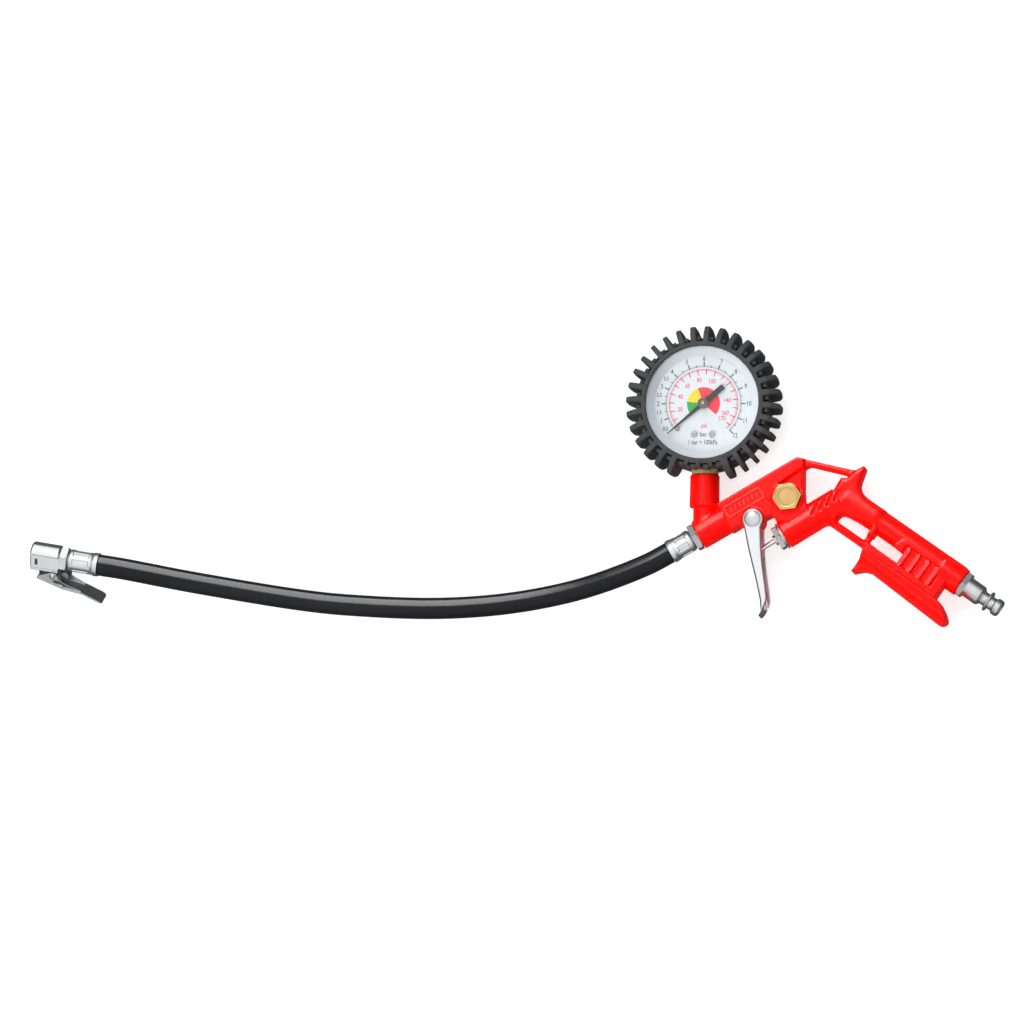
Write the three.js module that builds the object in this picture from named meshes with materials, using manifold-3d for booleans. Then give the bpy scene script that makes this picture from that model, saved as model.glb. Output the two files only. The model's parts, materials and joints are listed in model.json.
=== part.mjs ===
// A tyre inflator gun: a cast body with a trigger valve, a dial gauge in a rubber boot, and a
// short hose that ends in a clip-on tyre chuck. Millimetres, +Z up, lying on its side on Z = 0.
import * as THREE from "three";
import { mergeVertices } from "three/addons/utils/BufferGeometryUtils.js";
import Module from "manifold-3d";

const wasm = await Module();
wasm.setup();

// ---------- driving dimensions ----------
const MID_HEIGHT = 12; // the gun's mid-plane above the table; every group below is built about it
const GAP = 0.3; // clearance between neighbouring pieces
const ROUND = 32; // sides of the gauge's round pieces, one for each lug of its boot

const OUTLET = { x: -64.5, y: -31.2, heading: 210.5, radius: 8.25, length: 17 };
const BARREL = { x: -17.4, y: -31.6, heading: 211.5, radius: 8.1, length: 36 };
const INLET = { x: 81.5, y: -58.2, heading: -34.7, radius: 8, length: 14 };
const PLUG = { x: -14.9, y: -11.4, bossRadius: 9 };
const PIVOT = { x: -33.9, y: -23.5, lugRadius: 6.2 };
const BODY_HALF = 7.5; // half the thickness of the flat-sided body

const TUBE = { radius: 6.85, offset: -1.6, length: 80 };
const GRIP = { half: 7.2, near: 1.5, far: 16.4, start: 7, end: 44 };
const BLADE = { half: 12, depth: 9.4, tilt: 2.6 };

const GAUGE = { x: -61.8, y: 40.3, bossTop: 1.7, bossRadius: 8.3 };
const CASE = { radius: 34, wall: 1.2, back: -9.1, front: 17.2 };
const BOOT = { radius: 36.2, lipRadius: 31.3, back: -12, front: 18.4, lugTip: 43.1 };
const LUGS = { count: 32, width: 2.8, missing: [23, 24, 25], phase: 0.25 };
const CROWDED = { first: 26, count: 5, shift: 3 }; // the lugs past the gap stand closer together
const DIAL = { radius: 28.6, back: 10.3, front: 11.1 };
const MOVEMENT = { back: 4.2, front: 9.8, plate: 0.9 };
const PINION = { teeth: 12, pitch: 2 };
const SECTOR = { x: 9, y: -15.59, ratio: 8, firstTooth: -10, lastTooth: 3 };
const POINTER_REST = 220.5; // degrees from +X, where the scale starts

const STEM = { radius: 1.25, tip: 19.3 };
const SEAT_DEPTH = 13;
const SPRING_DEPTH = 31;

const HOSE = { diameter: 12, sides: 10, steps: 14 };
const CHUCK = { x: -401.9, y: -48.2, height: 5.3, heading: 170.5, roll: 35 };
const CHUCK_BODY = { radius: 7.25, start: 21.9, end: 38.8, flat: 4.8, shoulder: 3.2, depth: 7.4, bore: 4.3 };
const CHUCK_PIVOT = { along: 25, below: 9.1 };

// ---------- finishes ----------
const finish = (color, roughness, metalness) => ({ color, roughness, metalness });
const RED = finish(0xd8140c, 0.32, 0);
const BRASS = finish(0xcfa24e, 0.28, 1);
const CHROME = finish(0xd9dbde, 0.12, 1);
const STEEL = finish(0xa9abad, 0.32, 1);
const RUBBER = finish(0x2e2f30, 0.75, 0);
const HOSE_BLACK = finish(0x0c0c0d, 0.3, 0);
const WHITE = finish(0xe6eaec, 0.5, 0);
const BLACK = finish(0x141415, 0.45, 0);
const GLASS = finish(0xe8f2f4, 0.03, 0);

// ---------- solids ----------
const radians = THREE.MathUtils.degToRad;

// A closed geometry as a manifold solid, with its faces turned outwards.
function solid(geometry) {
  const bare = geometry.index ? geometry.toNonIndexed() : geometry.clone();
  bare.deleteAttribute("normal");
  bare.deleteAttribute("uv");
  const merged = mergeVertices(bare, 1e-4);
  const corners = merged.index.array;
  const kept = [];
  for (let i = 0; i < corners.length; i += 3) {
    const [a, b, c] = corners.slice(i, i + 3);
    if (a !== b && b !== c && c !== a) kept.push(a, b, c);
  }
  const vertProperties = merged.attributes.position.array;
  const made = (faces) =>
    new wasm.Manifold(new wasm.Mesh({ numProp: 3, vertProperties, triVerts: new Uint32Array(faces) }));
  const first = made(kept);
  return first.volume() > 0 ? first : made(kept.reverse());
}

// The geometry of a manifold solid, ready for a mesh.
function geometryOf(manifold) {
  const { numProp, vertProperties, triVerts } = manifold.getMesh();
  const positions = new Float32Array((vertProperties.length / numProp) * 3);
  for (let i = 0; i < positions.length / 3; i++) {
    positions.set(vertProperties.subarray(i * numProp, i * numProp + 3), i * 3);
  }
  const geometry = new THREE.BufferGeometry();
  geometry.setAttribute("position", new THREE.BufferAttribute(positions, 3));
  geometry.setIndex(new THREE.BufferAttribute(new Uint32Array(triVerts), 1));
  geometry.computeVertexNormals();
  return geometry;
}

const union = (...pieces) => pieces.reduce((whole, piece) => whole.add(piece));

// A piece turned about +Y from [radius, height] points.
function turned(points, segments = 16) {
  return new THREE.LatheGeometry(points.map(([r, y]) => new THREE.Vector2(r, y)), segments);
}

// A piece turned about +Z from [radius, height] points.
const disc = (points, segments) => turned(points, segments).rotateX(Math.PI / 2);

// A bar along +Y, centred on (x, z).
function rod(radius, from, to, x = 0, z = 0, segments = 16) {
  const bar = new THREE.CylinderGeometry(radius, radius, to - from, segments);
  return bar.translate(x, (from + to) / 2, z);
}

// A bar along +Z, centred on (x, y).
function pin(radius, from, to, x = 0, y = 0, segments = 16) {
  const bar = new THREE.CylinderGeometry(radius, radius, to - from, segments);
  return bar.rotateX(Math.PI / 2).translate(x, y, (from + to) / 2);
}

// A hexagonal prism along +Y, by its size across the flats.
function hexagon(acrossFlats, from, to) {
  const bar = new THREE.CylinderGeometry(acrossFlats / Math.sqrt(3), acrossFlats / Math.sqrt(3), to - from, 6);
  return bar.translate(0, (from + to) / 2, 0);
}

// A block between two corners.
function block([x0, y0, z0], [x1, y1, z1]) {
  return new THREE.BoxGeometry(x1 - x0, y1 - y0, z1 - z0).translate((x0 + x1) / 2, (y0 + y1) / 2, (z0 + z1) / 2);
}

// A closed outline of [x, y, cornerRadius] points, with the corner radius left out where it is sharp.
function outline(points) {
  const shape = new THREE.Shape();
  const corners = points.map(([x, y]) => new THREE.Vector2(x, y));
  corners.forEach((corner, i) => {
    const radius = points[i][2] ?? 0;
    const before = corners[(i + corners.length - 1) % corners.length];
    const after = corners[(i + 1) % corners.length];
    const enter = corner.clone().add(before.clone().sub(corner).setLength(radius));
    const leave = corner.clone().add(after.clone().sub(corner).setLength(radius));
    if (i === 0) shape.moveTo(enter.x, enter.y);
    else shape.lineTo(enter.x, enter.y);
    if (radius > 0) shape.quadraticCurveTo(corner.x, corner.y, leave.x, leave.y);
  });
  shape.closePath();
  return shape;
}

// An outline given a thickness from one height to another.
function plate(points, from, to, curveSegments = 2) {
  const shape = points instanceof THREE.Shape ? points : outline(points);
  const depth = to - from;
  return new THREE.ExtrudeGeometry(shape, { depth, bevelEnabled: false, curveSegments }).translate(0, 0, from);
}

// ---------- the assembly and its groups ----------
const inflator = new THREE.Group();
inflator.position.z = MID_HEIGHT;

// A group in the mid-plane whose +Y points along a heading, in degrees from +X.
function station({ x, y, heading = 90, height = 0 }) {
  const group = new THREE.Group();
  group.position.set(x, y, height);
  group.rotation.z = radians(heading - 90);
  group.updateMatrix();
  inflator.add(group);
  return group;
}

const outlet = station(OUTLET);
const barrel = station(BARREL);
const inlet = station(INLET);
const crossDrilling = station(PLUG);
const triggerPivot = station(PIVOT);
const gauge = station(GAUGE);
const chuckLine = station(CHUCK);
const chuck = new THREE.Group();
chuck.rotation.y = radians(-CHUCK.roll);
chuckLine.add(chuck);

const within = (group, geometry) => solid(geometry.clone().applyMatrix4(group.matrix));

function add(group, name, shape, { color, roughness, metalness }, glass = {}) {
  const geometry = shape instanceof THREE.BufferGeometry ? geometryOf(solid(shape)) : geometryOf(shape);
  const material = new THREE.MeshStandardMaterial({ color, roughness, metalness, ...glass });
  const mesh = new THREE.Mesh(geometry, material);
  mesh.name = name;
  group.add(mesh);
  return mesh;
}

// ---------- gun body ----------
// The flat-sided block from the hose outlet up to the peak over the hanging window.
function upperBlock() {
  const side = [
    [-54.2, -15.3],
    [-9.9, 11.0, 1],
    [-6.2, 10.1],
    [-6.2, -12, 1],
    [-3, -18],
    [-14, -25],
    [-20.6, -25],
    [-23.6, -20.9, 1],
    [-28, -23.2],
    [-40.5, -26.6],
    [-45.5, -30.0],
  ];
  const boss = pin(PLUG.bossRadius, -8, 8, PLUG.x, PLUG.y, 24);
  return solid(plate(side, -BODY_HALF, BODY_HALF)).add(solid(boss));
}

// The recess beside the brass plug, on both faces.
function plugRecesses() {
  const pocket = [
    [-12, 1, 1.5],
    [-8.2, 6.4, 1.2],
    [-8.2, -4.4, 1.5],
  ];
  return union(solid(plate(pocket, 5, 9)), solid(plate(pocket, -9, -5)));
}

// The bar over the hanging window, the horn behind it and the elbow that joins barrel and handle.
function hornAndElbow() {
  const bar = [
    [-8, 10.9],
    [22.3, 3.9],
    [22, -1],
    [16.6, 1.6, 1.5],
    [-3, 6.4, 1.5],
    [-7, 4],
  ];
  const horn = [
    [14.4, 0],
    [17.2, -0.6, 1],
    [22.3, 3.9],
    [26.9, 6.2, 0.6],
    [28.1, 5.0, 0.6],
    [24.6, -5.0, 2.5],
    [27.4, -11.4, 3],
    [38.4, -18.8],
    [33, -27],
    [20.6, -22.6, 2],
    [15, -20.4, 2],
    [11, -24.6],
    [4, -18],
  ];
  return union(solid(plate(bar, -4, 4)), solid(plate(horn, -6.6, 6.6)));
}

// Slanted pockets on both sides of the barrel, below the window.
function barrelPockets() {
  const [first, pitch, count] = [-21.7, -4.65, 4];
  const cuts = [];
  for (let i = 0; i < count; i++) {
    for (const side of [1, -1]) {
      const pocket = new THREE.BoxGeometry(6.6, 2, 2).rotateZ(radians(-32));
      cuts.push(within(barrel, pocket.translate(4.3, first + i * pitch, side * 6.6)));
    }
  }
  return union(...cuts);
}

// The handle, in the inlet's group: +Y runs out of the inlet and +X points to the finger side.
function handle() {
  const { near, far, start, end, half } = GRIP;
  const tube = rod(TUBE.radius, -TUBE.length, -2, TUBE.offset, 0, 24);
  const boss = rod(INLET.radius, -INLET.length, 0, 0, 0, 24);
  const grip = [
    [-near, -start],
    [far, -start],
    [far, -54.6],
    [11.6, -54.6],
    [11.6, -35.2, 1],
    [5.6, -35.2, 1],
    [5.4, -end, 2],
    [-near, -end + 4, 2],
  ];
  const frontBar = [
    [11.5, -52],
    [15.6, -52],
    [15.6, -84],
    [11.5, -82],
  ];
  const bridge = [
    [4, -58.1],
    [12, -58.1],
    [12, -54.8],
    [4, -54.8],
  ];
  const ridge = [
    [1.4, -57.8, 1],
    [7, -57.8],
    [7, -55],
    [1.4, -55, 1],
  ];
  const ridges = plate(ridge, -TUBE.radius, TUBE.radius);
  const pieces = [tube, boss, plate(grip, -half, half), plate(frontBar, -4.6, 4.6), plate(bridge, -3, 3), ridges];
  return union(...pieces.map((piece) => within(inlet, piece)));
}

// The half-round finger blade and its spike, in the inlet's group.
function fingerBlade() {
  const side = [
    [15.4, -7],
    [16.1, -2.5],
    [18.3, 1.4, 1.5],
    [22, 6.4, 2.5],
    [26.9, 5, 2.5],
    [24.7, -39.3],
    [24.4, -47, 2],
    [29.6, -52, 0.5],
    [29.6, -53.6, 0.5],
    [22, -53.2, 4],
    [15.4, -55],
  ];
  const round = new THREE.Shape();
  round.absellipse(0, 0, BLADE.depth, BLADE.half, 0, Math.PI * 2);
  const bar = new THREE.ExtrudeGeometry(round, { depth: 60, bevelEnabled: false, curveSegments: 9 });
  bar.rotateX(Math.PI / 2).translate(0, 8, 0);
  bar.rotateZ(radians(-BLADE.tilt)).translate(17.4, 0, 0);
  const spike = plate(side, -7, 7);
  const tip = block([23, -56, -8], [31, -46, 8]);
  const rounded = within(inlet, plate(side, -BLADE.half, BLADE.half)).intersect(within(inlet, bar));
  return rounded.add(within(inlet, spike).intersect(within(inlet, tip)));
}

// Grooves between the grip ribs, on both sides of the handle.
function gripGrooves() {
  const [first, pitch, count] = [-13, -6.3, 3];
  const cuts = [];
  for (let i = 0; i < count; i++) {
    for (const side of [1, -1]) {
      const groove = new THREE.BoxGeometry(11, 3.4, 3);
      cuts.push(within(inlet, groove.translate(6, first + i * pitch, side * (GRIP.half + 0.1))));
    }
  }
  return union(...cuts);
}

// The boss that the gauge screws into, and the raised frame of the label plate.
function bossAndLabel() {
  const axis = rod(GAUGE.bossRadius, -16.2, GAUGE.bossTop, GAUGE.x, 0, 24);
  const neck = rod(5.9, -23, -15, GAUGE.x, 0, 24);
  const frame = outline([
    [-11.7, -3.6, 1.4],
    [11.7, -3.6, 1.4],
    [11.7, 3.6, 1.4],
    [-11.7, 3.6, 1.4],
  ]);
  frame.holes.push(
    outline([
      [-10.9, -2.8, 0.9],
      [-10.9, 2.8, 0.9],
      [10.9, 2.8, 0.9],
      [10.9, -2.8, 0.9],
    ]),
  );
  const label = plate(frame, BODY_HALF - 1, BODY_HALF + 0.6).rotateZ(radians(30.5)).translate(-38.9, -14.3, 0);
  return union(solid(axis), solid(neck), solid(label));
}

// The drilled passages: inlet, valve bore, cross drilling, outlet and the gauge's own drilling.
function passages() {
  const valveBore = turned([
    [0, 1],
    [5.7, 1],
    [5.7, -SEAT_DEPTH - GAP],
    [4.9, -SEAT_DEPTH - GAP],
    [4.9, -32],
    [0, -32],
  ]);
  const inletBore = turned([
    [0, 1],
    [5, 1],
    [5, -11],
    [2.8, -11],
    [2.8, -78],
    [0, -78],
  ]);
  const outletBore = turned([
    [0, 1],
    [4.95, 1],
    [4.95, -12],
    [2.4, -12],
    [2.4, -52],
    [0, -52],
  ]);
  const plugBore = pin(4.65, -3, 10, PLUG.x, PLUG.y);
  const fromValve = rod(1.9, -20, 0, 0, 0, 16).rotateZ(radians(14)).translate(PLUG.x, PLUG.y, 0);
  const gaugeBore = rod(5, -7, GAUGE.bossTop + 1, GAUGE.x, 0);
  const fromGauge = rod(1.4, -24, 0, 0, 0, 16).rotateZ(radians(25)).translate(GAUGE.x, -6, 0);
  const elbow = rod(2.8, -13, 0, 0, 0).rotateZ(radians(-58)).translate(4, -16.5, 0);
  return union(
    within(barrel, valveBore),
    within(inlet, inletBore),
    within(outlet, outletBore),
    ...[plugBore, fromValve, gaugeBore, fromGauge, elbow].map(solid),
  );
}

function gunBody() {
  const outletBoss = rod(OUTLET.radius, -OUTLET.length, 0, 0, 0, 24);
  const valveBarrel = rod(BARREL.radius, -BARREL.length, 0, 0, 0, 24);
  const lug = pin(PIVOT.lugRadius, -8.2, 8.2, PIVOT.x, PIVOT.y, 24);
  const added = union(
    upperBlock().subtract(plugRecesses()),
    within(outlet, outletBoss),
    within(barrel, valveBarrel),
    solid(lug),
    hornAndElbow(),
    handle(),
    fingerBlade(),
    bossAndLabel(),
  );
  const removed = union(barrelPockets(), gripGrooves(), passages(), solid(pin(2.3, -9, 9, PIVOT.x, PIVOT.y)));
  return added.subtract(removed);
}

add(inflator, "gun_body", gunBody(), RED);

// ---------- fittings screwed into the body ----------
function inletPlug() {
  const spindle = turned([
    [2.6, -9],
    [4.7, -9],
    [4.7, 1],
    [5.65, 1],
    [5.65, 12.5],
    [3.75, 14],
    [3.75, 17],
    [5.4, 17],
    [6, 17.5],
    [6, 18.1],
    [5.4, 18.5],
    [3.75, 18.5],
    [3.75, 21.2],
    [4.9, 22],
    [4.9, 24.8],
    [4, 25.8],
    [2.6, 25.8],
    [2.6, -9],
  ]);
  const hex = solid(hexagon(14, GAP, 3.2)).subtract(solid(rod(4, -1, 5)));
  return solid(spindle).add(hex);
}

function valvePlug() {
  const head = hexagon(14, 8 + GAP, 11.7).rotateY(radians(-23)).rotateX(Math.PI / 2);
  const recess = disc([
    [0, 11.1],
    [4.9, 11.1],
    [5.4, 12],
    [0, 12],
  ]);
  return solid(head).add(solid(pin(4.3, 2, 9))).subtract(solid(recess));
}

add(inlet, "inlet_plug", inletPlug(), STEEL);
add(crossDrilling, "valve_plug", valvePlug(), BRASS);

// ---------- trigger valve, in the barrel's group ----------
function glandNut() {
  const core = turned([
    [1.6, 6],
    [3, 6],
    [3, 3],
    [5.4, 3],
    [5.4, -6],
    [2.9, -6],
    [2.9, -3],
    [1.6, -3],
    [1.6, 6],
  ]);
  return solid(core).add(solid(hexagon(12.8, 1.6, 4.5)).subtract(solid(rod(2.5, 0, 6))));
}

const ring = (inner, outer, from, to) =>
  turned([
    [inner, from],
    [outer, from],
    [outer, to],
    [inner, to],
    [inner, from],
  ]);

add(barrel, "gland_washer", ring(5.9, 7.75, GAP, 1.3), STEEL);
add(barrel, "gland_nut", glandNut(), STEEL);
add(barrel, "gland_seal", ring(1.55, 2.6, -5.7, -3.3), RUBBER);
add(barrel, "valve_seat", ring(3, 5.4, -SEAT_DEPTH, -8.5), BRASS);

const stem = turned([
  [0, -SEAT_DEPTH - 4.6],
  [3.2, -SEAT_DEPTH - 4.6],
  [3.2, -SEAT_DEPTH - 3.9],
  [STEM.radius, -SEAT_DEPTH - 3.9],
  [STEM.radius, STEM.tip - 0.7],
  [0.7, STEM.tip],
  [0, STEM.tip],
]);
add(barrel, "valve_stem", stem, STEEL);
add(barrel, "valve_poppet", ring(1.55, 4.3, -SEAT_DEPTH - 3.6, -SEAT_DEPTH - GAP), RUBBER);
add(barrel, "valve_spring", ring(3.3, 4.2, -SPRING_DEPTH, -SEAT_DEPTH - 4.9), STEEL);

// ---------- trigger lever, in the pivot's group ----------
const LEVER = {
  outer: [
    [-5.4, -1.6],
    [-2.2, -16.8],
    [2.0, -33.1],
    [4.6, -44.7],
    [5.2, -51.0],
    [3.8, -53.6],
  ],
  inner: [
    [5.5, -52],
    [8.1, -47],
    [8.7, -43.8],
    [7.9, -37.4],
    [6.1, -25.3],
    [5.1, -15.1],
    [4.6, -3.2],
  ],
  cheekIn: 8.5,
  cheekOut: 9.7,
  disc: 5.6,
  wall: 1.4,
  webTop: -10,
};

// A pressed channel: two cheeks beside the body, joined by a web on the finger side.
function triggerLever() {
  const { outer, inner, cheekIn, cheekOut, wall, webTop } = LEVER;
  const cheeks = [-1, 1].map((side) => {
    const [low, high] = side > 0 ? [cheekIn, cheekOut] : [-cheekOut, -cheekIn];
    return solid(plate([...outer, ...inner], low, high)).add(solid(pin(LEVER.disc, low, high, 0, 0, 24)));
  });
  const webOuter = outer.slice(1);
  const start = [outer[1][0] - 1.8, webTop];
  const webInner = [...webOuter].reverse().map(([x, y]) => [x + wall, y]);
  const web = plate([start, ...webOuter, ...webInner, [start[0] + wall, webTop]], -cheekOut, cheekOut);
  return union(...cheeks, solid(web)).subtract(solid(pin(2.3, -11, 11)));
}

// A domed rivet through both cheeks and the body's lug.
function triggerRivet() {
  const { cheekOut } = LEVER;
  const head = cheekOut + GAP;
  const half = [
    [0, head + 1.3],
    [2.2, head + 1],
    [4, head + 0.2],
    [4, head],
    [2, head],
  ];
  const other = half.map(([r, z]) => [r, -z]).reverse();
  return disc([...half, ...other], 24);
}

add(triggerPivot, "trigger_lever", triggerLever(), CHROME);
add(triggerPivot, "trigger_rivet", triggerRivet(), CHROME);

// ---------- pressure gauge, in its own group about the dial's centre ----------
const stemHole = (radius, from = -46, to = -28) => solid(rod(radius, from, to));

function gaugeStem() {
  const below = GAUGE.bossTop - GAUGE.y;
  const hexFrom = below + 0.4;
  const threaded = rod(4.7, below - 6.5, below + 2);
  const hex = hexagon(14, hexFrom, hexFrom + 3.8);
  const neck = rod(5, hexFrom + 3, -29);
  const socket = block([-6, -30, -6], [6, -17, 3.9]);
  const drilling = rod(1.4, -50, -20, 0, 0, 12);
  const sideDrilling = new THREE.CylinderGeometry(1, 1, 8, 12).rotateZ(Math.PI / 2).translate(-4, -21, 0);
  return union(...[threaded, hex, neck, socket].map(solid)).subtract(union(solid(drilling), solid(sideDrilling)));
}

function gaugeCase() {
  const { radius, wall, back, front } = CASE;
  const cup = disc(
    [
      [0, back],
      [radius, back],
      [radius, front],
      [radius - wall, front],
      [radius - wall, back + wall],
      [0, back + wall],
    ],
    ROUND,
  );
  return solid(cup).subtract(stemHole(5.4));
}

// One straight lug of the boot, wrapped from its back over its side to its front face.
function bootLug(turn) {
  const { radius, back, front, lugTip } = BOOT;
  const side = [
    [radius - 1.2, front - 1],
    [33.6, front - 0.4],
    [33.6, front + 1.2],
    [radius + 1.7, front + 1.2, 2.2],
    [lugTip, front - 6, 4],
    [lugTip, back + 5],
    [radius + 3.5, back + 0.6],
    [radius - 1.2, back + 0.6],
  ];
  const lug = plate(side, -LUGS.width / 2, LUGS.width / 2);
  return lug.rotateX(Math.PI / 2).rotateZ(turn);
}

function lugTurn(i) {
  const even = (360 * (i - LUGS.phase)) / LUGS.count;
  const past = (i - CROWDED.first + 0.5) / CROWDED.count;
  return radians(even + (past > 0 ? Math.max(0, 1 - past) * CROWDED.shift : 0));
}

function gaugeBoot() {
  const { radius, lipRadius, back, front } = BOOT;
  const inner = CASE.radius + GAP;
  const carcass = disc(
    [
      [21, back],
      [radius - 1.5, back],
      [radius, back + 1.5],
      [radius, front - 1.2],
      [radius - 1.2, front],
      [32.2, front + 0.8],
      [lipRadius, front],
      [lipRadius, CASE.front + GAP],
      [inner, CASE.front + GAP],
      [inner, CASE.back - GAP],
      [21, CASE.back - GAP],
      [21, back],
    ],
    ROUND,
  );
  const lugs = [];
  for (let i = 0; i < LUGS.count; i++) {
    if (!LUGS.missing.includes(i)) lugs.push(solid(bootLug(lugTurn(i))));
  }
  return union(solid(carcass), ...lugs).subtract(stemHole(8.6));
}

// The white cone between the dial and the window.
function gaugeRing() {
  return disc(
    [
      [27.4, 11.4],
      [28.4, 11.4],
      [31.6, 14.8],
      [32.4, 14.8],
      [32.4, 15.4],
      [31.2, 15.4],
      [27.4, 11.4],
    ],
    ROUND,
  );
}

const DIAL_SCREW = { x: 4.95, y: -17, hole: 1.2 };
const throughHole = (radius, x, y) => solid(pin(radius, -2, 20, x, y, 12));
const screwHoles = union(...[-1, 1].map((side) => throughHole(DIAL_SCREW.hole, side * DIAL_SCREW.x, DIAL_SCREW.y)));
const SHAFT_HOLE = 1.1;
const STOP_PIN = { turn: 224.6, reach: 19.9, radius: 0.8 };
const stopX = STOP_PIN.reach * Math.cos(radians(STOP_PIN.turn));
const stopY = STOP_PIN.reach * Math.sin(radians(STOP_PIN.turn));

function gaugeDial() {
  const face = solid(pin(DIAL.radius, DIAL.back, DIAL.front, 0, 0, ROUND));
  const holes = union(screwHoles, throughHole(SHAFT_HOLE, 0, 0), throughHole(STOP_PIN.radius + GAP, stopX, stopY));
  return face.subtract(holes);
}

function dialScrew(x) {
  const profile = [
    [0, 12.4],
    [1.2, 12.3],
    [1.7, 11.9],
    [1.7, 11.4],
    [0.9, 11.4],
    [0.9, 9],
    [0, 9],
  ];
  return disc(profile, 20).translate(x, DIAL_SCREW.y, 0);
}

function stopPin() {
  const profile = [
    [0, DIAL.back - 0.9],
    [STOP_PIN.radius, DIAL.back - 0.9],
    [STOP_PIN.radius, 13.2],
    [0, 13.4],
  ];
  return disc(profile, 16).translate(stopX, stopY, 0);
}

// The curved pressure tube: a flattened section swept through three quarters of a turn.
function bourdonTube() {
  const [radius, start, sweep] = [22, 252, -262];
  class Bend extends THREE.Curve {
    getPoint(u, target = new THREE.Vector3()) {
      const turn = radians(start + sweep * u);
      return target.set(radius * Math.cos(turn), radius * Math.sin(turn), 0);
    }
  }
  const section = new THREE.Shape();
  section.absellipse(0, 0, 3.4, 1.5, 0, Math.PI * 2);
  return new THREE.ExtrudeGeometry(section, { steps: 20, curveSegments: 4, extrudePath: new Bend() });
}

// The link between the tube's free end and the sector's tail.
function bourdonLink() {
  const end = radians(-10);
  const fromX = 22 * Math.cos(end);
  const fromY = 22 * Math.sin(end);
  const bar = [
    [fromX - 1.2, fromY + 1.2],
    [fromX + 1.2, fromY + 1.2],
    [fromX + 1.2, fromY - 1.2],
    [16, -17],
    [14, -16.4],
  ];
  return plate(bar, 3.9, 4.7);
}

function movementPlate(from, width) {
  const side = [
    [-width, -28, 1.5],
    [width + 5, -28, 1.5],
    [width + 5, -12, 3],
    [5, 5, 3],
    [-5, 5, 3],
    [-width, -12, 3],
  ];
  return solid(plate(side, from, from + MOVEMENT.plate));
}

function movementHoles() {
  return union(throughHole(SHAFT_HOLE, 0, 0), throughHole(SHAFT_HOLE, SECTOR.x, SECTOR.y), screwHoles);
}

// The back plate carries the two posts that hold the front plate off it.
function backPlate() {
  const [from, to] = [MOVEMENT.back, MOVEMENT.front - MOVEMENT.plate - GAP];
  const posts = [
    [-5, -25],
    [10, -25],
  ].map(([x, y]) => solid(pin(1.4, from, to, x, y, 12)));
  return movementPlate(from, 7).subtract(movementHoles()).add(union(...posts));
}

const frontPlate = () => movementPlate(MOVEMENT.front - MOVEMENT.plate, 7).subtract(movementHoles());

// A gear outline with pointed teeth, from one tooth number to another, closed through its centre if partial.
function toothedOutline(pitchRadius, teeth, from, to, phase = 0) {
  const [addendum, dedendum, halfTooth] = [0.18, 0.4, 0.19];
  const points = [];
  for (let i = from; i < to; i++) {
    const centre = phase + (i * 2 * Math.PI) / teeth;
    const corners = [
      [pitchRadius - dedendum, -1.5],
      [pitchRadius + addendum, -0.6],
      [pitchRadius + addendum, 0.6],
      [pitchRadius - dedendum, 1.5],
    ];
    for (const [r, share] of corners) {
      const turn = centre + (share * halfTooth) / pitchRadius;
      points.push([r * Math.cos(turn), r * Math.sin(turn)]);
    }
  }
  return points;
}

function pointerPinion() {
  const teeth = toothedOutline(PINION.pitch, PINION.teeth, 0, PINION.teeth, Math.PI / PINION.teeth + radians(-60));
  const gear = plate(teeth, 5.6, 8.4);
  return union(solid(gear), solid(pin(0.8, 3.6, 14.4, 0, 0, 12)));
}

// The toothed sector turns on its own pin and drives the pinion.
function sectorGear() {
  const pitch = PINION.pitch * SECTOR.ratio;
  const teeth = PINION.teeth * SECTOR.ratio;
  const towards = Math.atan2(-SECTOR.y, -SECTOR.x);
  const rim = toothedOutline(pitch, teeth, SECTOR.firstTooth, SECTOR.lastTooth, towards);
  const tail = radians(-25);
  const tailPoint = [7 * Math.cos(tail), 7 * Math.sin(tail) - 1.4];
  const arm = plate([...rim, [-2.4, 0.6], tailPoint, [7, -0.6], [1.5, 2.4]], 5.9, 7.9);
  const hub = pin(2.4, 5.9, 7.9, 0, 0, 16);
  const arbor = pin(0.8, 3.6, 9.6, 0, 0, 12);
  return union(solid(arm), solid(hub), solid(arbor));
}

function gaugePointer() {
  const [tip, tail, hub] = [26, 14.8, 2.6];
  const hand = [
    [-tail, -1.8],
    [0, -1.8],
    [1, -1.2],
    [tip, -0.2],
    [tip, 0.2],
    [1, 1.2],
    [0, 1.8],
    [-tail, 1.8],
  ];
  const blade = solid(plate(hand, 12.5, 13)).add(solid(pin(hub, 12.5, 13)));
  return blade.subtract(throughHole(SHAFT_HOLE, 0, 0));
}

const pointerCap = disc(
  [
    [SHAFT_HOLE, 13.3],
    [3.1, 13.3],
    [3.1, 14],
    [2.6, 14.5],
    [SHAFT_HOLE, 14.5],
    [SHAFT_HOLE, 13.3],
  ],
  24,
);

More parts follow.
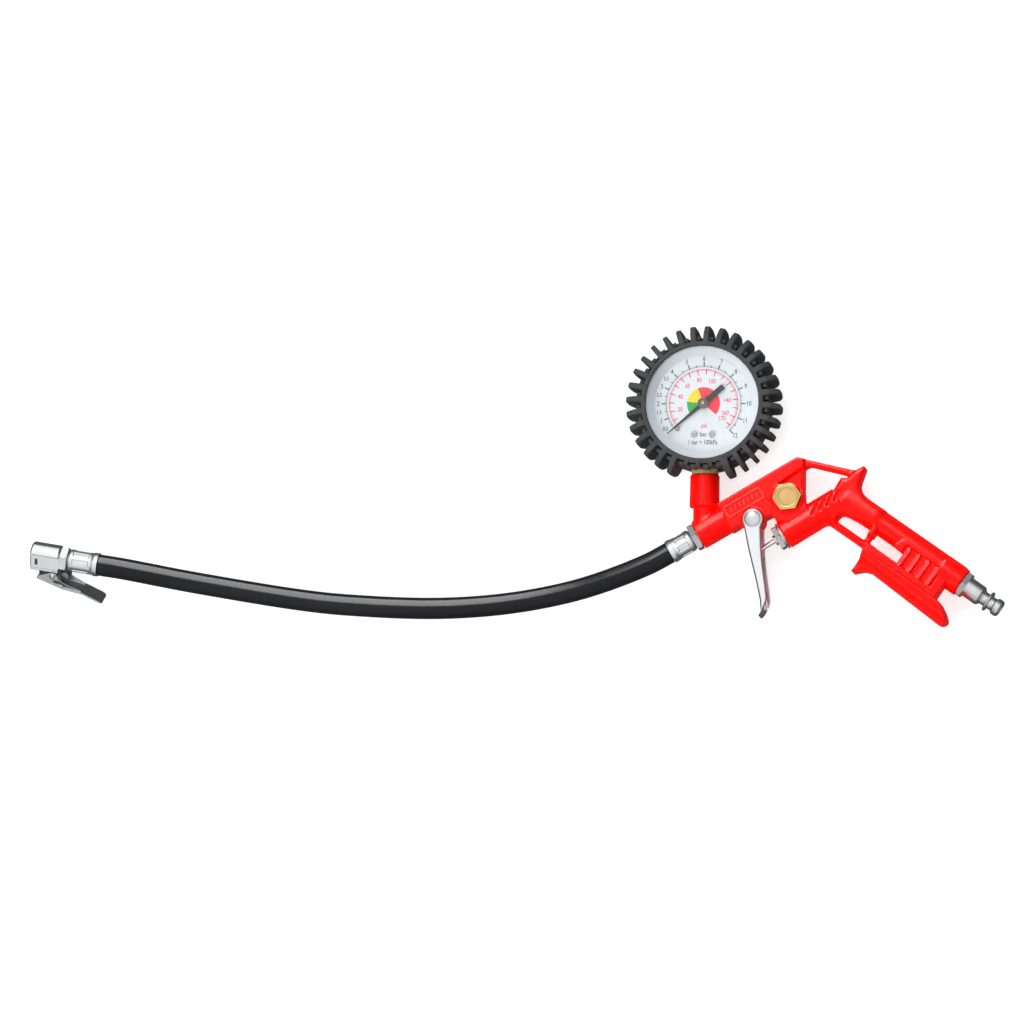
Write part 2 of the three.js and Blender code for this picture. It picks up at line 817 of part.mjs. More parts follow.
add(gauge, "gauge_stem", gaugeStem(), BRASS);
add(gauge, "gauge_case", gaugeCase(), STEEL);
add(gauge, "gauge_boot", gaugeBoot(), RUBBER);
add(gauge, "gauge_ring", gaugeRing(), WHITE);
add(gauge, "gauge_dial", gaugeDial(), WHITE);
add(gauge, "dial_screw_left", dialScrew(-DIAL_SCREW.x), STEEL);
add(gauge, "dial_screw_right", dialScrew(DIAL_SCREW.x), STEEL);
add(gauge, "pointer_stop_pin", stopPin(), BRASS);
add(gauge, "bourdon_tube", bourdonTube(), BRASS);
add(gauge, "bourdon_link", bourdonLink(), BRASS);
add(gauge, "movement_back_plate", backPlate(), BRASS);
add(gauge, "movement_front_plate", frontPlate(), BRASS);
add(gauge, "pointer_pinion", pointerPinion(), BRASS);
add(gauge, "sector_gear", sectorGear(), BRASS).position.set(SECTOR.x, SECTOR.y, 0);
add(gauge, "gauge_pointer", gaugePointer(), BLACK).rotation.z = radians(POINTER_REST);
add(gauge, "pointer_cap", pointerCap, STEEL);
const clear = { transparent: true, opacity: 0.25 };
add(gauge, "gauge_lens", pin(32.4, 15.7, 17, 0, 0, ROUND), GLASS, clear);

// ---------- hose and its fittings ----------
const CRIMP = 8;

// A crimped ferrule along +Y: the hose enters at +Y and leaves the flare there.
function ferrule(from, to, bore) {
  const shell = turned([
    [bore, from],
    [5, from],
    [5.75, from + 1],
    [5.75, to - 3.5],
    [6.45, to - 2.6],
    [6.45, to],
    [bore, to],
    [bore, from],
  ]);
  const pockets = [];
  for (let i = 0; i < CRIMP; i++) {
    const pocket = new THREE.BoxGeometry(2.6, to - from - 8.4, 2).translate(0, (from + to) / 2 - 0.6, 6.35);
    pockets.push(solid(pocket.rotateY((i * 2 * Math.PI) / CRIMP)));
  }
  return solid(shell).subtract(union(...pockets));
}

function hoseFitting() {
  const spindle = turned([
    [1.8, -10],
    [4.6, -10],
    [4.6, 1],
    [3, 3],
    [3, 17],
    [1.8, 17],
    [1.8, -10],
  ]);
  return solid(spindle).add(solid(hexagon(14.2, GAP, 3.5)).subtract(solid(rod(2.5, 0, 5))));
}

const FERRULE_END = 18.2;
add(outlet, "hose_fitting", hoseFitting(), STEEL);
add(outlet, "hose_ferrule_gun", ferrule(3.8, FERRULE_END, 3.3), STEEL);

// Centre points of the hose between its two ferrules, in the mid-plane's frame.
const gunEnd = new THREE.Vector3(0, FERRULE_END + GAP, 0).applyMatrix4(outlet.matrix);
const chuckEnd = new THREE.Vector3(0, -GAP, 0).applyMatrix4(chuckLine.matrix);
const hoseRoute = [
  gunEnd,
  ...[
    [-91.6, -47.0, -0.2],
    [-111.6, -55.0, -1.6],
    [-131.8, -61.3, -3.5],
    [-152.2, -65.8, -5.0],
    [-172.3, -68.9, -5.8],
    [-192.4, -70.8, -5.9],
    [-212.6, -71.6, -5.9],
    [-232.7, -71.3, -5.9],
    [-252.9, -70.3, -5.9],
    [-273.1, -68.8, -5.8],
    [-293.1, -66.4, -5.0],
    [-313.1, -63.5, -3.2],
    [-333.0, -60.4, -0.8],
    [-352.8, -57.2, 1.7],
    [-372.6, -53.6, 3.8],
    [-389, -50.6, 5.0],
  ].map((point) => new THREE.Vector3(...point)),
  chuckEnd,
];

function hose() {
  const section = new THREE.Shape();
  for (let i = 0; i < HOSE.sides; i++) {
    const turn = (i * 2 * Math.PI) / HOSE.sides;
    const [x, y] = [(HOSE.diameter / 2) * Math.cos(turn), (HOSE.diameter / 2) * Math.sin(turn)];
    if (i === 0) section.moveTo(x, y);
    else section.lineTo(x, y);
  }
  section.closePath();
  const extrudePath = new THREE.CatmullRomCurve3(hoseRoute, false, "centripetal");
  return new THREE.ExtrudeGeometry(section, { steps: HOSE.steps, extrudePath });
}

add(inflator, "hose", hose(), HOSE_BLACK);

// ---------- tyre chuck, in its rolled group: +Y runs to the mouth and the lever hangs along -X ----------
function chuckFerrule() {
  return ferrule(0, 17.4, 3.3).mirror([0, 1, 0]).translate([0, 17.4, 0]);
}

function chuckTail() {
  const spindle = turned([
    [1.6, 1],
    [3, 1],
    [3, 17],
    [3.9, 18.5],
    [3.9, 24.5],
    [1.6, 24.5],
    [1.6, 1],
  ]);
  return solid(spindle).add(solid(hexagon(12.6, 17.7, 21.6)).subtract(solid(rod(2.5, 17, 22))));
}

function chuckBody() {
  const { radius, start, end, flat, shoulder, depth, bore } = CHUCK_BODY;
  const shell = turned([
    [0, start],
    [radius - 0.5, start],
    [radius, start + 0.5],
    [radius, end - 1.6],
    [radius - 1.2, end],
    [0, end],
  ]);
  const keel = block([-depth, start + 0.8, -flat], [1.8, end - 0.8, flat]);
  const lug = plate(
    [
      [-6, 22.6],
      [-10.6, 23.2, 1.5],
      [-10.6, 27, 1.5],
      [-6, 28.4],
    ],
    -flat,
    flat,
  );
  const claw = block([-9, 32.6, -2.4], [-3.4, 34.8, 2.4]);
  const slits = [-1, 1].map((side) => block([-3.9, 34.9, side > 0 ? 4 : -8], [-0.3, 36, side > 0 ? 8 : -4]));
  const pinHole = pin(1.2, -8, 8, -CHUCK_PIVOT.below, CHUCK_PIVOT.along);
  const sides = [-1, 1].map((side) => {
    const [low, high] = side > 0 ? [flat, 9] : [-9, -flat];
    return block([-9, start - 1, low], [shoulder, end + 1, high]);
  });
  const whole = union(solid(shell).subtract(union(...sides.map(solid))), solid(keel), solid(lug));
  return whole.subtract(union(solid(rod(bore, start - 1, end + 1)), solid(pinHole), ...[claw, ...slits].map(solid)));
}

// A pressed channel with a claw at its front and a flared thumb blade at its back.
function chuckLever() {
  const [cheekIn, cheekOut, bladeHalf, wall] = [5.1, 6, 5.6, 1];
  const cheek = [
    [-11.6, 34.2, 0.6],
    [-10.2, 34.2, 0.6],
    [-6.6, 26.6, 1.2],
    [-7.4, 23.8, 1.2],
    [-13, 18],
    [-16.2, 7.9],
    [-17.2, 8.2],
    [-16.2, 18.6],
  ];
  const web = [
    [-10.6, 34.2],
    [-15.2, 18.6],
    [-16.4, 7.9],
    [-20.6, -3.8],
    [-20.6 - wall, -3.8],
    [-17.4, 7.9],
    [-16.2, 18.6],
    [-11.6, 34.2],
  ];
  const claw = block([-11, 33.2, -2], [-5.2, 34.2, 2]);
  const cheeks = [
    plate(cheek, cheekIn, cheekOut),
    plate(cheek, -cheekOut, -cheekIn),
  ];
  const pieces = [...cheeks, plate(web, -bladeHalf, bladeHalf), claw].map(solid);
  const hole = pin(1.2, -8, 8, -CHUCK_PIVOT.below, CHUCK_PIVOT.along);
  return union(...pieces).subtract(solid(hole));
}

function chuckPin() {
  const half = [
    [0, 7.1],
    [1, 7],
    [1.6, 6.6],
    [1.6, 6 + GAP],
    [0.9, 6 + GAP],
  ];
  const other = half.map(([r, z]) => [r, -z]).reverse();
  return disc([...half, ...other], 16).translate(-CHUCK_PIVOT.below, CHUCK_PIVOT.along, 0);
}

function depressor() {
  const profile = [
    [0, 24.8],
    [3.9, 24.8],
    [3.9, 25.8],
    [1, 25.8],
    [1, 31],
    [0, 31],
  ];
  return turned(profile, 16);
}

function chuckSpring() {
  const coil = disc(
    [
      [1.3, -4.4],
      [2.5, -4.4],
      [2.5, 2],
      [1.3, 2],
      [1.3, -4.4],
    ],
    20,
  );
  return coil.translate(-10.3, 19.2, 0);
}

add(chuck, "hose_ferrule_chuck", chuckFerrule(), STEEL);
add(chuck, "chuck_tail", chuckTail(), STEEL);
add(chuck, "chuck_body", chuckBody(), CHROME);
add(chuck, "chuck_seal", ring(1.5, 4, 26.1, 28.6), RUBBER);
add(chuck, "chuck_depressor", depressor(), BRASS);
add(chuck, "chuck_lever", chuckLever(), CHROME);
add(chuck, "chuck_pin", chuckPin(), STEEL);
add(chuck, "chuck_spring", chuckSpring(), STEEL);

export default inflator;
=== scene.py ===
"""Looks of a tyre inflator gun: red casting, gauge in a rubber boot, trigger, black hose, clip-on chuck.

Shapes are worked out in millimetres about the gun's mid-plane, in the axes of the fitting they belong to.
"""

import json
import math

import bmesh
import bpy
import numpy as np
from mathutils import Matrix, Vector


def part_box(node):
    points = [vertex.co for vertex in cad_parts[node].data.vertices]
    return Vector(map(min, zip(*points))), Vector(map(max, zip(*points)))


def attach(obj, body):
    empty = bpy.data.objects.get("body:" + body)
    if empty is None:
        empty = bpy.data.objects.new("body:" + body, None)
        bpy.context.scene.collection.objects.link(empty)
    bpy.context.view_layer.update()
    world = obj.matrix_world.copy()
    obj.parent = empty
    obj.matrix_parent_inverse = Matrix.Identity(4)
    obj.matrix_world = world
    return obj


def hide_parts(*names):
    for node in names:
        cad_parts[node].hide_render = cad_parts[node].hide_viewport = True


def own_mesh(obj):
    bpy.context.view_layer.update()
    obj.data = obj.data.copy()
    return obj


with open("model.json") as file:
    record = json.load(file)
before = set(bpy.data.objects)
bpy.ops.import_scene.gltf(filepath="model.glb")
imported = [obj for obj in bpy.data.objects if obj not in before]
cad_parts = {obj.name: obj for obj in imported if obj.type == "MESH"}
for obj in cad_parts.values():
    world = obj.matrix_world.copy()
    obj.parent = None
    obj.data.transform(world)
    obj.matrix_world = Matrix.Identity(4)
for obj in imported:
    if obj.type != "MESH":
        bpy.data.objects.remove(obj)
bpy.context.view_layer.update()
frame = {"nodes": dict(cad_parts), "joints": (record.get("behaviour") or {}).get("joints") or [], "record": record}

MM = 0.001

# ---------- places, taken from the frame ----------
JOINT = {j["name"]: j for j in frame["joints"]}
MOUNT = {m["name"]: m for m in frame["record"]["mounts"]}
MID = JOINT["trigger_pivot"]["pos_m"][2] / MM
OUTLET_HEADING = 210.5
# Places along the axes of the barrel, the inlet, the outlet and the chuck.
WASHER_MIDDLE = 0.8
PLUG_END = 25.8
GUN_FERRULE, CHUCK_FERRULE = (3.8, 18.2), (0, 17.4)


def point(metres):
    """A point of the frame in millimetres about the mid-plane."""
    x, y, z = metres
    return Vector((x / MM, y / MM, z / MM - MID))


def middle(node):
    low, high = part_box(node)
    return point((low + high) / 2)


def place(origin, along, up=(0, 0, 1)):
    """Axes with +Y along a direction, +Z up and +X = Y x Z."""
    y, z = Vector(along).normalized(), Vector(up).normalized()
    axes = Matrix((y.cross(z), y, z)).transposed().to_4x4()
    return Matrix.Translation(origin) @ axes


def point_out(at, p):
    """A point of a place's axes in metres of the frame."""
    return tuple(((at @ Vector(p)) + Vector((0, 0, MID))) * MM)


def flat(v):
    return Vector((v[0], v[1], 0))


def heading(degrees):
    return Vector((math.cos(math.radians(degrees)), math.sin(math.radians(degrees)), 0))


BARREL_OUT = -Vector(JOINT["valve_slide"]["axis"])
INLET_OUT = Vector(MOUNT["inlet_plug_end"]["axis"])
CHUCK_OUT = Vector(MOUNT["chuck_mouth_end"]["axis"])
OUTLET_OUT = heading(OUTLET_HEADING)
GUN = Matrix.Identity(4)
OUTLET = place(middle("hose_ferrule_gun") - sum(GUN_FERRULE) / 2 * OUTLET_OUT, OUTLET_OUT)
BARREL = place(middle("gland_washer") - WASHER_MIDDLE * BARREL_OUT, BARREL_OUT)
INLET = place(flat(point(MOUNT["inlet_plug_end"]["pos_m"])) - PLUG_END * INLET_OUT, INLET_OUT)
PLUG = place(flat(middle("valve_plug")), (0, 1, 0))
PIVOT = place(point(JOINT["trigger_pivot"]["pos_m"]), (0, 1, 0))
GAUGE = place(flat(middle("gauge_lens")), (0, 1, 0))
CHUCK_PIN_AXIS = Vector(JOINT["chuck_lever_pivot"]["axis"])
CHUCK = place(middle("hose_ferrule_chuck") - sum(CHUCK_FERRULE) / 2 * CHUCK_OUT, CHUCK_OUT, CHUCK_PIN_AXIS)
CHUCK_PIVOT = CHUCK.inverted() @ point(JOINT["chuck_lever_pivot"]["pos_m"])

# ---------- camera ----------
CAMERA_FROM = Vector((0.16, -0.135, 1)).normalized()
CAMERA_TARGET = Vector((-0.1695, -0.01837, 0.012))
CAMERA_DISTANCE = 4
FIELD_WIDTH = 0.5684
CAMERA_ROLL = 1.12
SENSOR = 36


def make_camera():
    data = bpy.data.cameras.new("camera")
    data.sensor_width = SENSOR
    data.lens = SENSOR * CAMERA_DISTANCE / FIELD_WIDTH
    data.clip_start, data.clip_end = 0.05, 20
    camera = bpy.data.objects.new("camera", data)
    bpy.context.scene.collection.objects.link(camera)
    right = Vector((0, 1, 0)).cross(CAMERA_FROM).normalized()
    axes = Matrix((right, CAMERA_FROM.cross(right), CAMERA_FROM)).transposed()
    roll = Matrix.Rotation(math.radians(CAMERA_ROLL), 3, "Z")
    at = Matrix.Translation(CAMERA_TARGET + CAMERA_FROM * CAMERA_DISTANCE)
    camera.matrix_world = at @ (axes @ roll).to_4x4()
    bpy.context.scene.camera = camera


# ---------- meshes ----------
SHARP, BEVELLED = math.radians(38), math.radians(30)
WELD = 1e-5


def add_mesh(name, vertices, faces, at, sharp):
    """An object from millimetre points in a place's axes, with its faces turned outwards."""
    mesh = bpy.data.meshes.new(name)
    mesh.from_pydata(np.asarray(vertices).tolist(), [], [list(f) for f in faces])
    bm = bmesh.new()
    bm.from_mesh(mesh)
    bmesh.ops.remove_doubles(bm, verts=bm.verts, dist=WELD)
    if bm.calc_volume(signed=True) < 0:
        bmesh.ops.reverse_faces(bm, faces=bm.faces)
    bm.to_mesh(mesh)
    bm.free()
    mesh.transform(Matrix.Translation((0, 0, MID * MM)) @ Matrix.Scale(MM, 4) @ at)
    mesh.shade_smooth()
    if sharp:
        mesh.set_sharp_from_angle(angle=sharp)
    piece = bpy.data.objects.new(name, mesh)
    bpy.context.scene.collection.objects.link(piece)
    return piece


def settle(piece, finish, body, stands_for):
    piece.data.materials.append(LOOKS[finish])
    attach(piece, body)
    if stands_for:
        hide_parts(*stands_for)
    return piece


def add(name, part, at, finish, *stands_for, body="gun", sharp=SHARP):
    """A piece from (vertices, faces), with its material, its body and the CAD nodes that it stands for."""
    return settle(add_mesh(name, *part, at, sharp), finish, body, stands_for)


def bevel(piece, width):
    modifier = piece.modifiers.new("edges", "BEVEL")
    modifier.width = width * MM
    modifier.segments = 3
    modifier.limit_method = "ANGLE"
    modifier.angle_limit = BEVELLED
    modifier.harden_normals = True
    return piece


def corner(before, at, after, cut, steps):
    """Points round a corner, from cut before it to cut after it."""
    a, p, b = (np.array(v[:2], float) for v in (before, at, after))
    enter = p + (a - p) * cut / np.linalg.norm(a - p)
    leave = p + (b - p) * cut / np.linalg.norm(b - p)
    t = np.linspace(0, 1, steps)[:, None]
    return (1 - t) ** 2 * enter + 2 * t * (1 - t) * p + t**2 * leave


def rounded(points, closed=True, steps=5):
    """A line of [x, y, cut] corners with its corners rounded. Corners without a cut stay sharp."""
    made = []
    for i, at in enumerate(points):
        cut = at[2] if len(at) > 2 else 0
        if cut and (closed or 0 < i < len(points) - 1):
            made += corner(points[i - 1], at, points[(i + 1) % len(points)], cut, steps).tolist()
        else:
            made.append([float(at[0]), float(at[1])])
    return made


def merged(*parts):
    """Several (vertices, faces) as one."""
    vertices, faces, start = [], [], 0
    for v, f in parts:
        vertices.append(np.asarray(v, float))
        faces += [[i + start for i in face] for face in f]
        start += len(v)
    return np.concatenate(vertices), faces


def moved(part, matrix):
    vertices, faces = part
    m = np.array(matrix)
    return np.asarray(vertices) @ m[:3, :3].T + m[:3, 3], faces


def rings(radii, heights, closed=True):
    """A surface round +Y through rings whose radius and height may change round the turn."""
    count, sides = radii.shape
    turn = np.linspace(0, 2 * np.pi, sides, endpoint=False)
    vertices = np.stack([radii * np.cos(turn), heights, radii * np.sin(turn)], axis=2).reshape(-1, 3)
    faces = []
    for i in range(count if closed else count - 1):
        a, b = i * sides, (i + 1) % count * sides
        for j in range(sides):
            k = (j + 1) % sides
            faces.append([a + j, a + k, b + k, b + j])
    return vertices, faces


def turned(profile, sides=96, closed=True):
    """A piece turned about +Y from [radius, height, cut] corners.
    An open profile starts and ends on the axis."""
    line = np.array(rounded(profile, closed))
    spread = np.ones(sides)
    return rings(line[:, :1] * spread, line[:, 1:] * spread, closed)


UPRIGHT = Matrix.Rotation(math.radians(90), 4, "X")


def disc(profile, sides=96, closed=True):
    """A piece turned about +Z from [radius, height, cut] corners."""
    return moved(turned(profile, sides, closed), UPRIGHT)


def mirrored(half):
    """A line of corners and its mirror image across the first axis."""
    return half + [(p[0], -p[1], *p[2:]) for p in reversed(half)]


def hexagon(flats, bore, bottom, top, chamfer=1.03, sides=96):
    """A hexagonal nut about +Y with chamfered corners."""
    turn = np.linspace(0, 2 * np.pi, sides, endpoint=False)
    out = flats / 2 / np.cos((turn + np.pi / 6) % (np.pi / 3) - np.pi / 6)
    face = np.minimum(out, flats / 2 * chamfer)
    drop = (out - face) * math.tan(math.radians(30))
    inner, ones = np.full(sides, float(bore)), np.ones(sides)
    return rings(
        np.stack([inner, face, out, out, face, inner]),
        np.stack([bottom * ones, bottom * ones, bottom + drop, top - drop, top * ones, top * ones]),
    )


def prism(outline, low, high):
    """An outline given a thickness along +Z."""
    n = len(outline)
    vertices = [[x, y, z] for z in (low, high) for x, y in outline]
    walls = [[i, (i + 1) % n, n + (i + 1) % n, n + i] for i in range(n)]
    return vertices, [list(range(n))[::-1], list(range(n, 2 * n)), *walls]


def tube(path, radius, sides=12):
    """A round wire along a path, with flat ends."""
    path = np.array(path, float)
    along = np.gradient(path, axis=0)
    along /= np.linalg.norm(along, axis=1)[:, None]
    side = np.cross(along[0], (0.3, 0.5, 0.8))
    vertices = []
    turn = np.linspace(0, 2 * np.pi, sides, endpoint=False)[:, None]
    for p, t in zip(path, along):
        side = side - t * (side @ t)
        side /= np.linalg.norm(side)
        vertices += (p + radius * (np.cos(turn) * side + np.sin(turn) * np.cross(t, side))).tolist()
    faces = [list(range(sides)), list(range(len(vertices) - sides, len(vertices)))[::-1]]
    for i in range(len(path) - 1):
        for j in range(sides):
            a, b = i * sides + j, i * sides + (j + 1) % sides
            faces.append([a, a + sides, b + sides, b])
    return vertices, faces


CELLS, BAND, QUICK = 4, 4.6, 1.6


def sampled(field, low, step, counts):
    """The field on a grid. It is worked out in full only near its zero surface."""
    grown = lambda a: a.repeat(CELLS, 0).repeat(CELLS, 1).repeat(CELLS, 2)
    coarse = [low[k] + step * (CELLS * np.arange(counts[k] // CELLS) + 1.5) for k in range(3)]
    grid = np.meshgrid(*[c.astype(np.float32) for c in coarse], indexing="ij")
    rough = field(*[g.ravel() for g in grid]).reshape(grid[0].shape)
    values, near = grown(rough), grown(np.abs(rough) < BAND * step)
    at = np.nonzero(near)
    values[near] = field(*[(low[k] + step * at[k]).astype(np.float32) for k in range(3)])
    return values


def slope(field, p, reach):
    """The field's value and gradient at points."""
    sides = []
    for k in range(3):
        shift = np.zeros(3, np.float32)
        shift[k] = reach
        sides.append((field(*(p + shift).T) - field(*(p - shift).T)) / (2 * reach))
    return field(*p.T), np.stack(sides, axis=1)


def skin(field, low, high, step):
    """Points and quads on the field's zero surface, by surface nets, then drawn onto the surface."""
    low = np.array(low, np.float32) - 2 * step
    counts = [CELLS * (int((high[k] - low[k]) / step / CELLS) + 2) for k in range(3)]
    values = sampled(field, low, step, counts)
    inside = values < 0
    corners = [(i, j, k) for i in (0, 1) for j in (0, 1) for k in (0, 1)]
    shape = [n - 1 for n in counts]
    window = lambda a, c: a[c[0] : c[0] + shape[0], c[1] : c[1] + shape[1], c[2] : c[2] + shape[2]]
    total = sum(window(inside, c).astype(np.int8) for c in corners)
    cells = np.argwhere((total > 0) & (total < len(corners)))
    number = np.full(shape, -1, np.int32)
    number[tuple(cells.T)] = np.arange(len(cells))
    held = {c: values[tuple((cells + c).T)] for c in corners}
    place_sum, crossings = np.zeros((len(cells), 3)), np.zeros(len(cells))
    for a in corners:
        for b in corners:
            if sum(b) - sum(a) != 1 or sum(abs(p - q) for p, q in zip(a, b)) != 1:
                continue
            cross = (held[a] < 0) != (held[b] < 0)
            share = np.where(cross, held[a] / np.where(cross, held[a] - held[b], 1), 0)[:, None]
            place_sum += cross[:, None] * (np.array(a) + share * (np.array(b) - np.array(a)))
            crossings += cross
    points = (low + step * (cells + place_sum / crossings[:, None])).astype(np.float32)
    faces = []
    for axis in range(3):
        u, v = (axis + 1) % 3, (axis + 2) % 3
        here = [slice(1, n - 1) for n in counts]
        there = list(here)
        here[axis], there[axis] = slice(0, counts[axis] - 1), slice(1, counts[axis])
        first, second = inside[tuple(here)], inside[tuple(there)]
        edge = np.argwhere(first != second)
        outwards = first[tuple(edge.T)]
        edge[:, u] += 1
        edge[:, v] += 1
        quad = []
        for du, dv in ((1, 1), (0, 1), (0, 0), (1, 0)):
            cell = edge.copy()
            cell[:, u] -= du
            cell[:, v] -= dv
            quad.append(number[tuple(cell.T)])
        quad = np.stack(quad, axis=1)
        faces.append(np.where(outwards[:, None], quad, quad[:, ::-1]))
    for _ in range(2):
        value, rise = slope(field, points, step / 4)
        move = -value[:, None] * rise / np.maximum((rise**2).sum(1), 0.2)[:, None]
        points = points + np.clip(move, -step / 2, step / 2).astype(np.float32)
    return points, np.concatenate(faces)


def local(at, x, y, z):
    """Points of the mid-plane's axes in a place's own axes."""
    m = np.array(at.inverted(), np.float32)
    return [m[r, 0] * x + m[r, 1] * y + m[r, 2] * z + m[r, 3] for r in range(3)]


def polygon(x, y, points):
    """Signed distance to a closed outline, negative inside."""
    best, inside = np.full(x.shape, 1e9, np.float32), np.zeros(x.shape, bool)
    for (ax, ay), (bx, by) in zip(points, points[1:] + points[:1]):
        ex, ey = bx - ax, by - ay
        wx, wy = x - ax, y - ay
        t = np.clip((wx * ex + wy * ey) / (ex * ex + ey * ey + 1e-12), 0, 1)
        best = np.minimum(best, (wx - t * ex) ** 2 + (wy - t * ey) ** 2)
        crossed = (wy >= 0) != (y - by >= 0)
        inside ^= crossed & ((wx * ey < wy * ex) == (ey > 0))
    best = np.sqrt(best)
    return np.where(inside, -best, best)


def both(a, b, edge):
    """Where two shapes overlap, with the edge between them rounded."""
    a, b = a + edge, b + edge
    return np.minimum(np.maximum(a, b), 0) + np.hypot(np.maximum(a, 0), np.maximum(b, 0)) - edge


def span(v, low, high):
    return np.abs(v - (low + high) / 2) - (high - low) / 2


def join(a, b, fillet):
    """Two shapes as one, with a fillet between them."""
    near = np.maximum(fillet - np.abs(a - b), 0) / fillet
    return np.minimum(a, b) - near * near * fillet / 4


def cut(a, b, fillet):
    """The first shape without the second."""
    return -join(-a, b, fillet)


def smooth(edge_low, edge_high, v):
    t = np.clip((v - edge_low) / (edge_high - edge_low), 0, 1)
    return t * t * (3 - 2 * t)


def slab(x, y, z, corners, low, high, edge):
    """An outline given a thickness."""
    return both(polygon(x, y, rounded(corners, steps=4)), span(z, low, high), edge)


def rod(x, y, z, radius, start, end, edge):
    """A bar along y."""
    return both(np.hypot(x, z) - radius, span(y, start, end), edge)


def box(x, y, z, low, high, edge):
    sides = [span(v, a, b) for v, a, b in zip((x, y, z), low, high)]
    return both(both(sides[0], sides[1], edge), sides[2], edge)


# ---------- materials ----------
LOOKS = {}


def look(
    name, tone, other_tone, roughness, metallic=0.0, grain=900, stretch=(1, 1, 1), relief=0.01, peel=0,
    **sockets,
):
    """A surface that drifts between two tones, with roughness that varies and a fine relief in millimetres.
    grain is its features per metre, stretch draws them out, and peel is a broader, softer relief."""
    material = bpy.data.materials.new(name)
    material.use_nodes = True
    nodes, links = material.node_tree.nodes, material.node_tree.links
    shader = nodes["Principled BSDF"]
    shader.inputs["Metallic"].default_value = metallic
    for socket, value in sockets.items():
        shader.inputs[socket.replace("_", " ")].default_value = value
    where, mapping = nodes.new("ShaderNodeTexCoord"), nodes.new("ShaderNodeMapping")
    mapping.vector_type = "TEXTURE"
    mapping.inputs["Scale"].default_value = stretch
    links.new(where.outputs["Object"], mapping.inputs["Vector"])

    def noise(scale, detail):
        node = nodes.new("ShaderNodeTexNoise")
        node.inputs["Scale"].default_value = scale
        node.inputs["Detail"].default_value = detail
        links.new(mapping.outputs["Vector"], node.inputs["Vector"])
        return node.outputs["Fac"]

    def between(factor, low, high):
        node = nodes.new("ShaderNodeMapRange")
        node.inputs["From Min"].default_value, node.inputs["From Max"].default_value = 0.3, 0.7
        node.inputs["To Min"].default_value, node.inputs["To Max"].default_value = low, high
        links.new(factor, node.inputs["Value"])
        return node.outputs["Result"]

    def bump(height, millimetres, under=None):
        node = nodes.new("ShaderNodeBump")
        node.inputs["Distance"].default_value = millimetres * MM
        links.new(height, node.inputs["Height"])
        if under:
            links.new(under, node.inputs["Normal"])
        return node.outputs["Normal"]

    drift, fine = noise(grain / 9, 3), noise(grain, 2)
    mix = nodes.new("ShaderNodeMix")
    mix.data_type = "RGBA"
    mix.inputs["A"].default_value, mix.inputs["B"].default_value = (*tone, 1), (*other_tone, 1)
    links.new(between(drift, 0, 1), mix.inputs["Factor"])
    links.new(mix.outputs["Result"], shader.inputs["Base Color"])
    links.new(between(fine, *roughness), shader.inputs["Roughness"])
    normal = bump(fine, relief)
    if peel:
        normal = bump(noise(grain / 3, 1), peel, normal)
    links.new(normal, shader.inputs["Normal"])
    LOOKS[name] = material


look(
    "red_powder_coat", (0.95, 0.002, 0.001), (0.98, 0.004, 0.001), (0.22, 0.30), grain=1100, relief=0.002,
    peel=0.010, Specular_IOR_Level=0.10,
)
# Lighter red for the label's raised frame and bars: a painted highlight that stands in for light caught by their
# edges.
look(
    "red_painted_highlight", (0.97, 0.030, 0.020), (1.0, 0.045, 0.035), (0.25, 0.32), grain=1100, relief=0.002,
    Specular_IOR_Level=0.14,
)
look("chrome", (0.84, 0.84, 0.85), (0.90, 0.90, 0.91), (0.17, 0.24), 1.0, relief=0.0003)
look("steel", (0.66, 0.66, 0.66), (0.74, 0.74, 0.73), (0.26, 0.34), 1.0, grain=1200, relief=0.0004)
look("lever_steel", (0.50, 0.50, 0.51), (0.58, 0.58, 0.58), (0.24, 0.32), 1.0, grain=1200, relief=0.0004)
look("spring_steel", (0.26, 0.26, 0.27), (0.34, 0.34, 0.34), (0.40, 0.50), 1.0, grain=1500, relief=0.0006)
look("ferrule_steel", (0.80, 0.80, 0.81), (0.88, 0.88, 0.88), (0.28, 0.36), 1.0, grain=1200, relief=0.0005)
look("brass", (0.72, 0.49, 0.16), (0.82, 0.60, 0.24), (0.14, 0.24), 1.0, grain=1200, relief=0.0006)
look("brass_knurled", (0.42, 0.29, 0.09), (0.80, 0.62, 0.27), (0.35, 0.55), 0.5, grain=2600, relief=0.05)
look("brass_faced", (0.60, 0.36, 0.13), (0.66, 0.41, 0.16), (0.45, 0.55), 0.2, grain=1500, relief=0.001)
look(
    "boot_rubber", (0.042, 0.043, 0.045), (0.058, 0.059, 0.060), (0.55, 0.70), grain=1500, relief=0.012,
    peel=0.01, Specular_IOR_Level=0.3,
)
look("seal_rubber", (0.02, 0.02, 0.02), (0.035, 0.035, 0.035), (0.6, 0.75))
look(
    "hose_rubber", (0.009, 0.009, 0.010), (0.014, 0.014, 0.015), (0.16, 0.22), relief=0.0015,
    stretch=(8, 1, 1), Specular_IOR_Level=0.13,
)
look(
    "white_enamel", (0.62, 0.66, 0.685), (0.65, 0.69, 0.715), (0.45, 0.55), relief=0.0005,
    Specular_IOR_Level=0.3,
)
look(
    "pointer_black", (0.022, 0.018, 0.019), (0.032, 0.028, 0.029), (0.5, 0.6), relief=0.001,
    Specular_IOR_Level=0.2,
)
look("pointer_steel", (0.16, 0.14, 0.12), (0.28, 0.25, 0.22), (0.22, 0.32), 1.0, relief=0.0006)
look("screw_steel", (0.46, 0.43, 0.38), (0.60, 0.57, 0.51), (0.3, 0.4), 1.0, relief=0.0004)
look("ink_black", (0.03, 0.03, 0.035), (0.05, 0.05, 0.055), (0.5, 0.6), relief=0.0005)
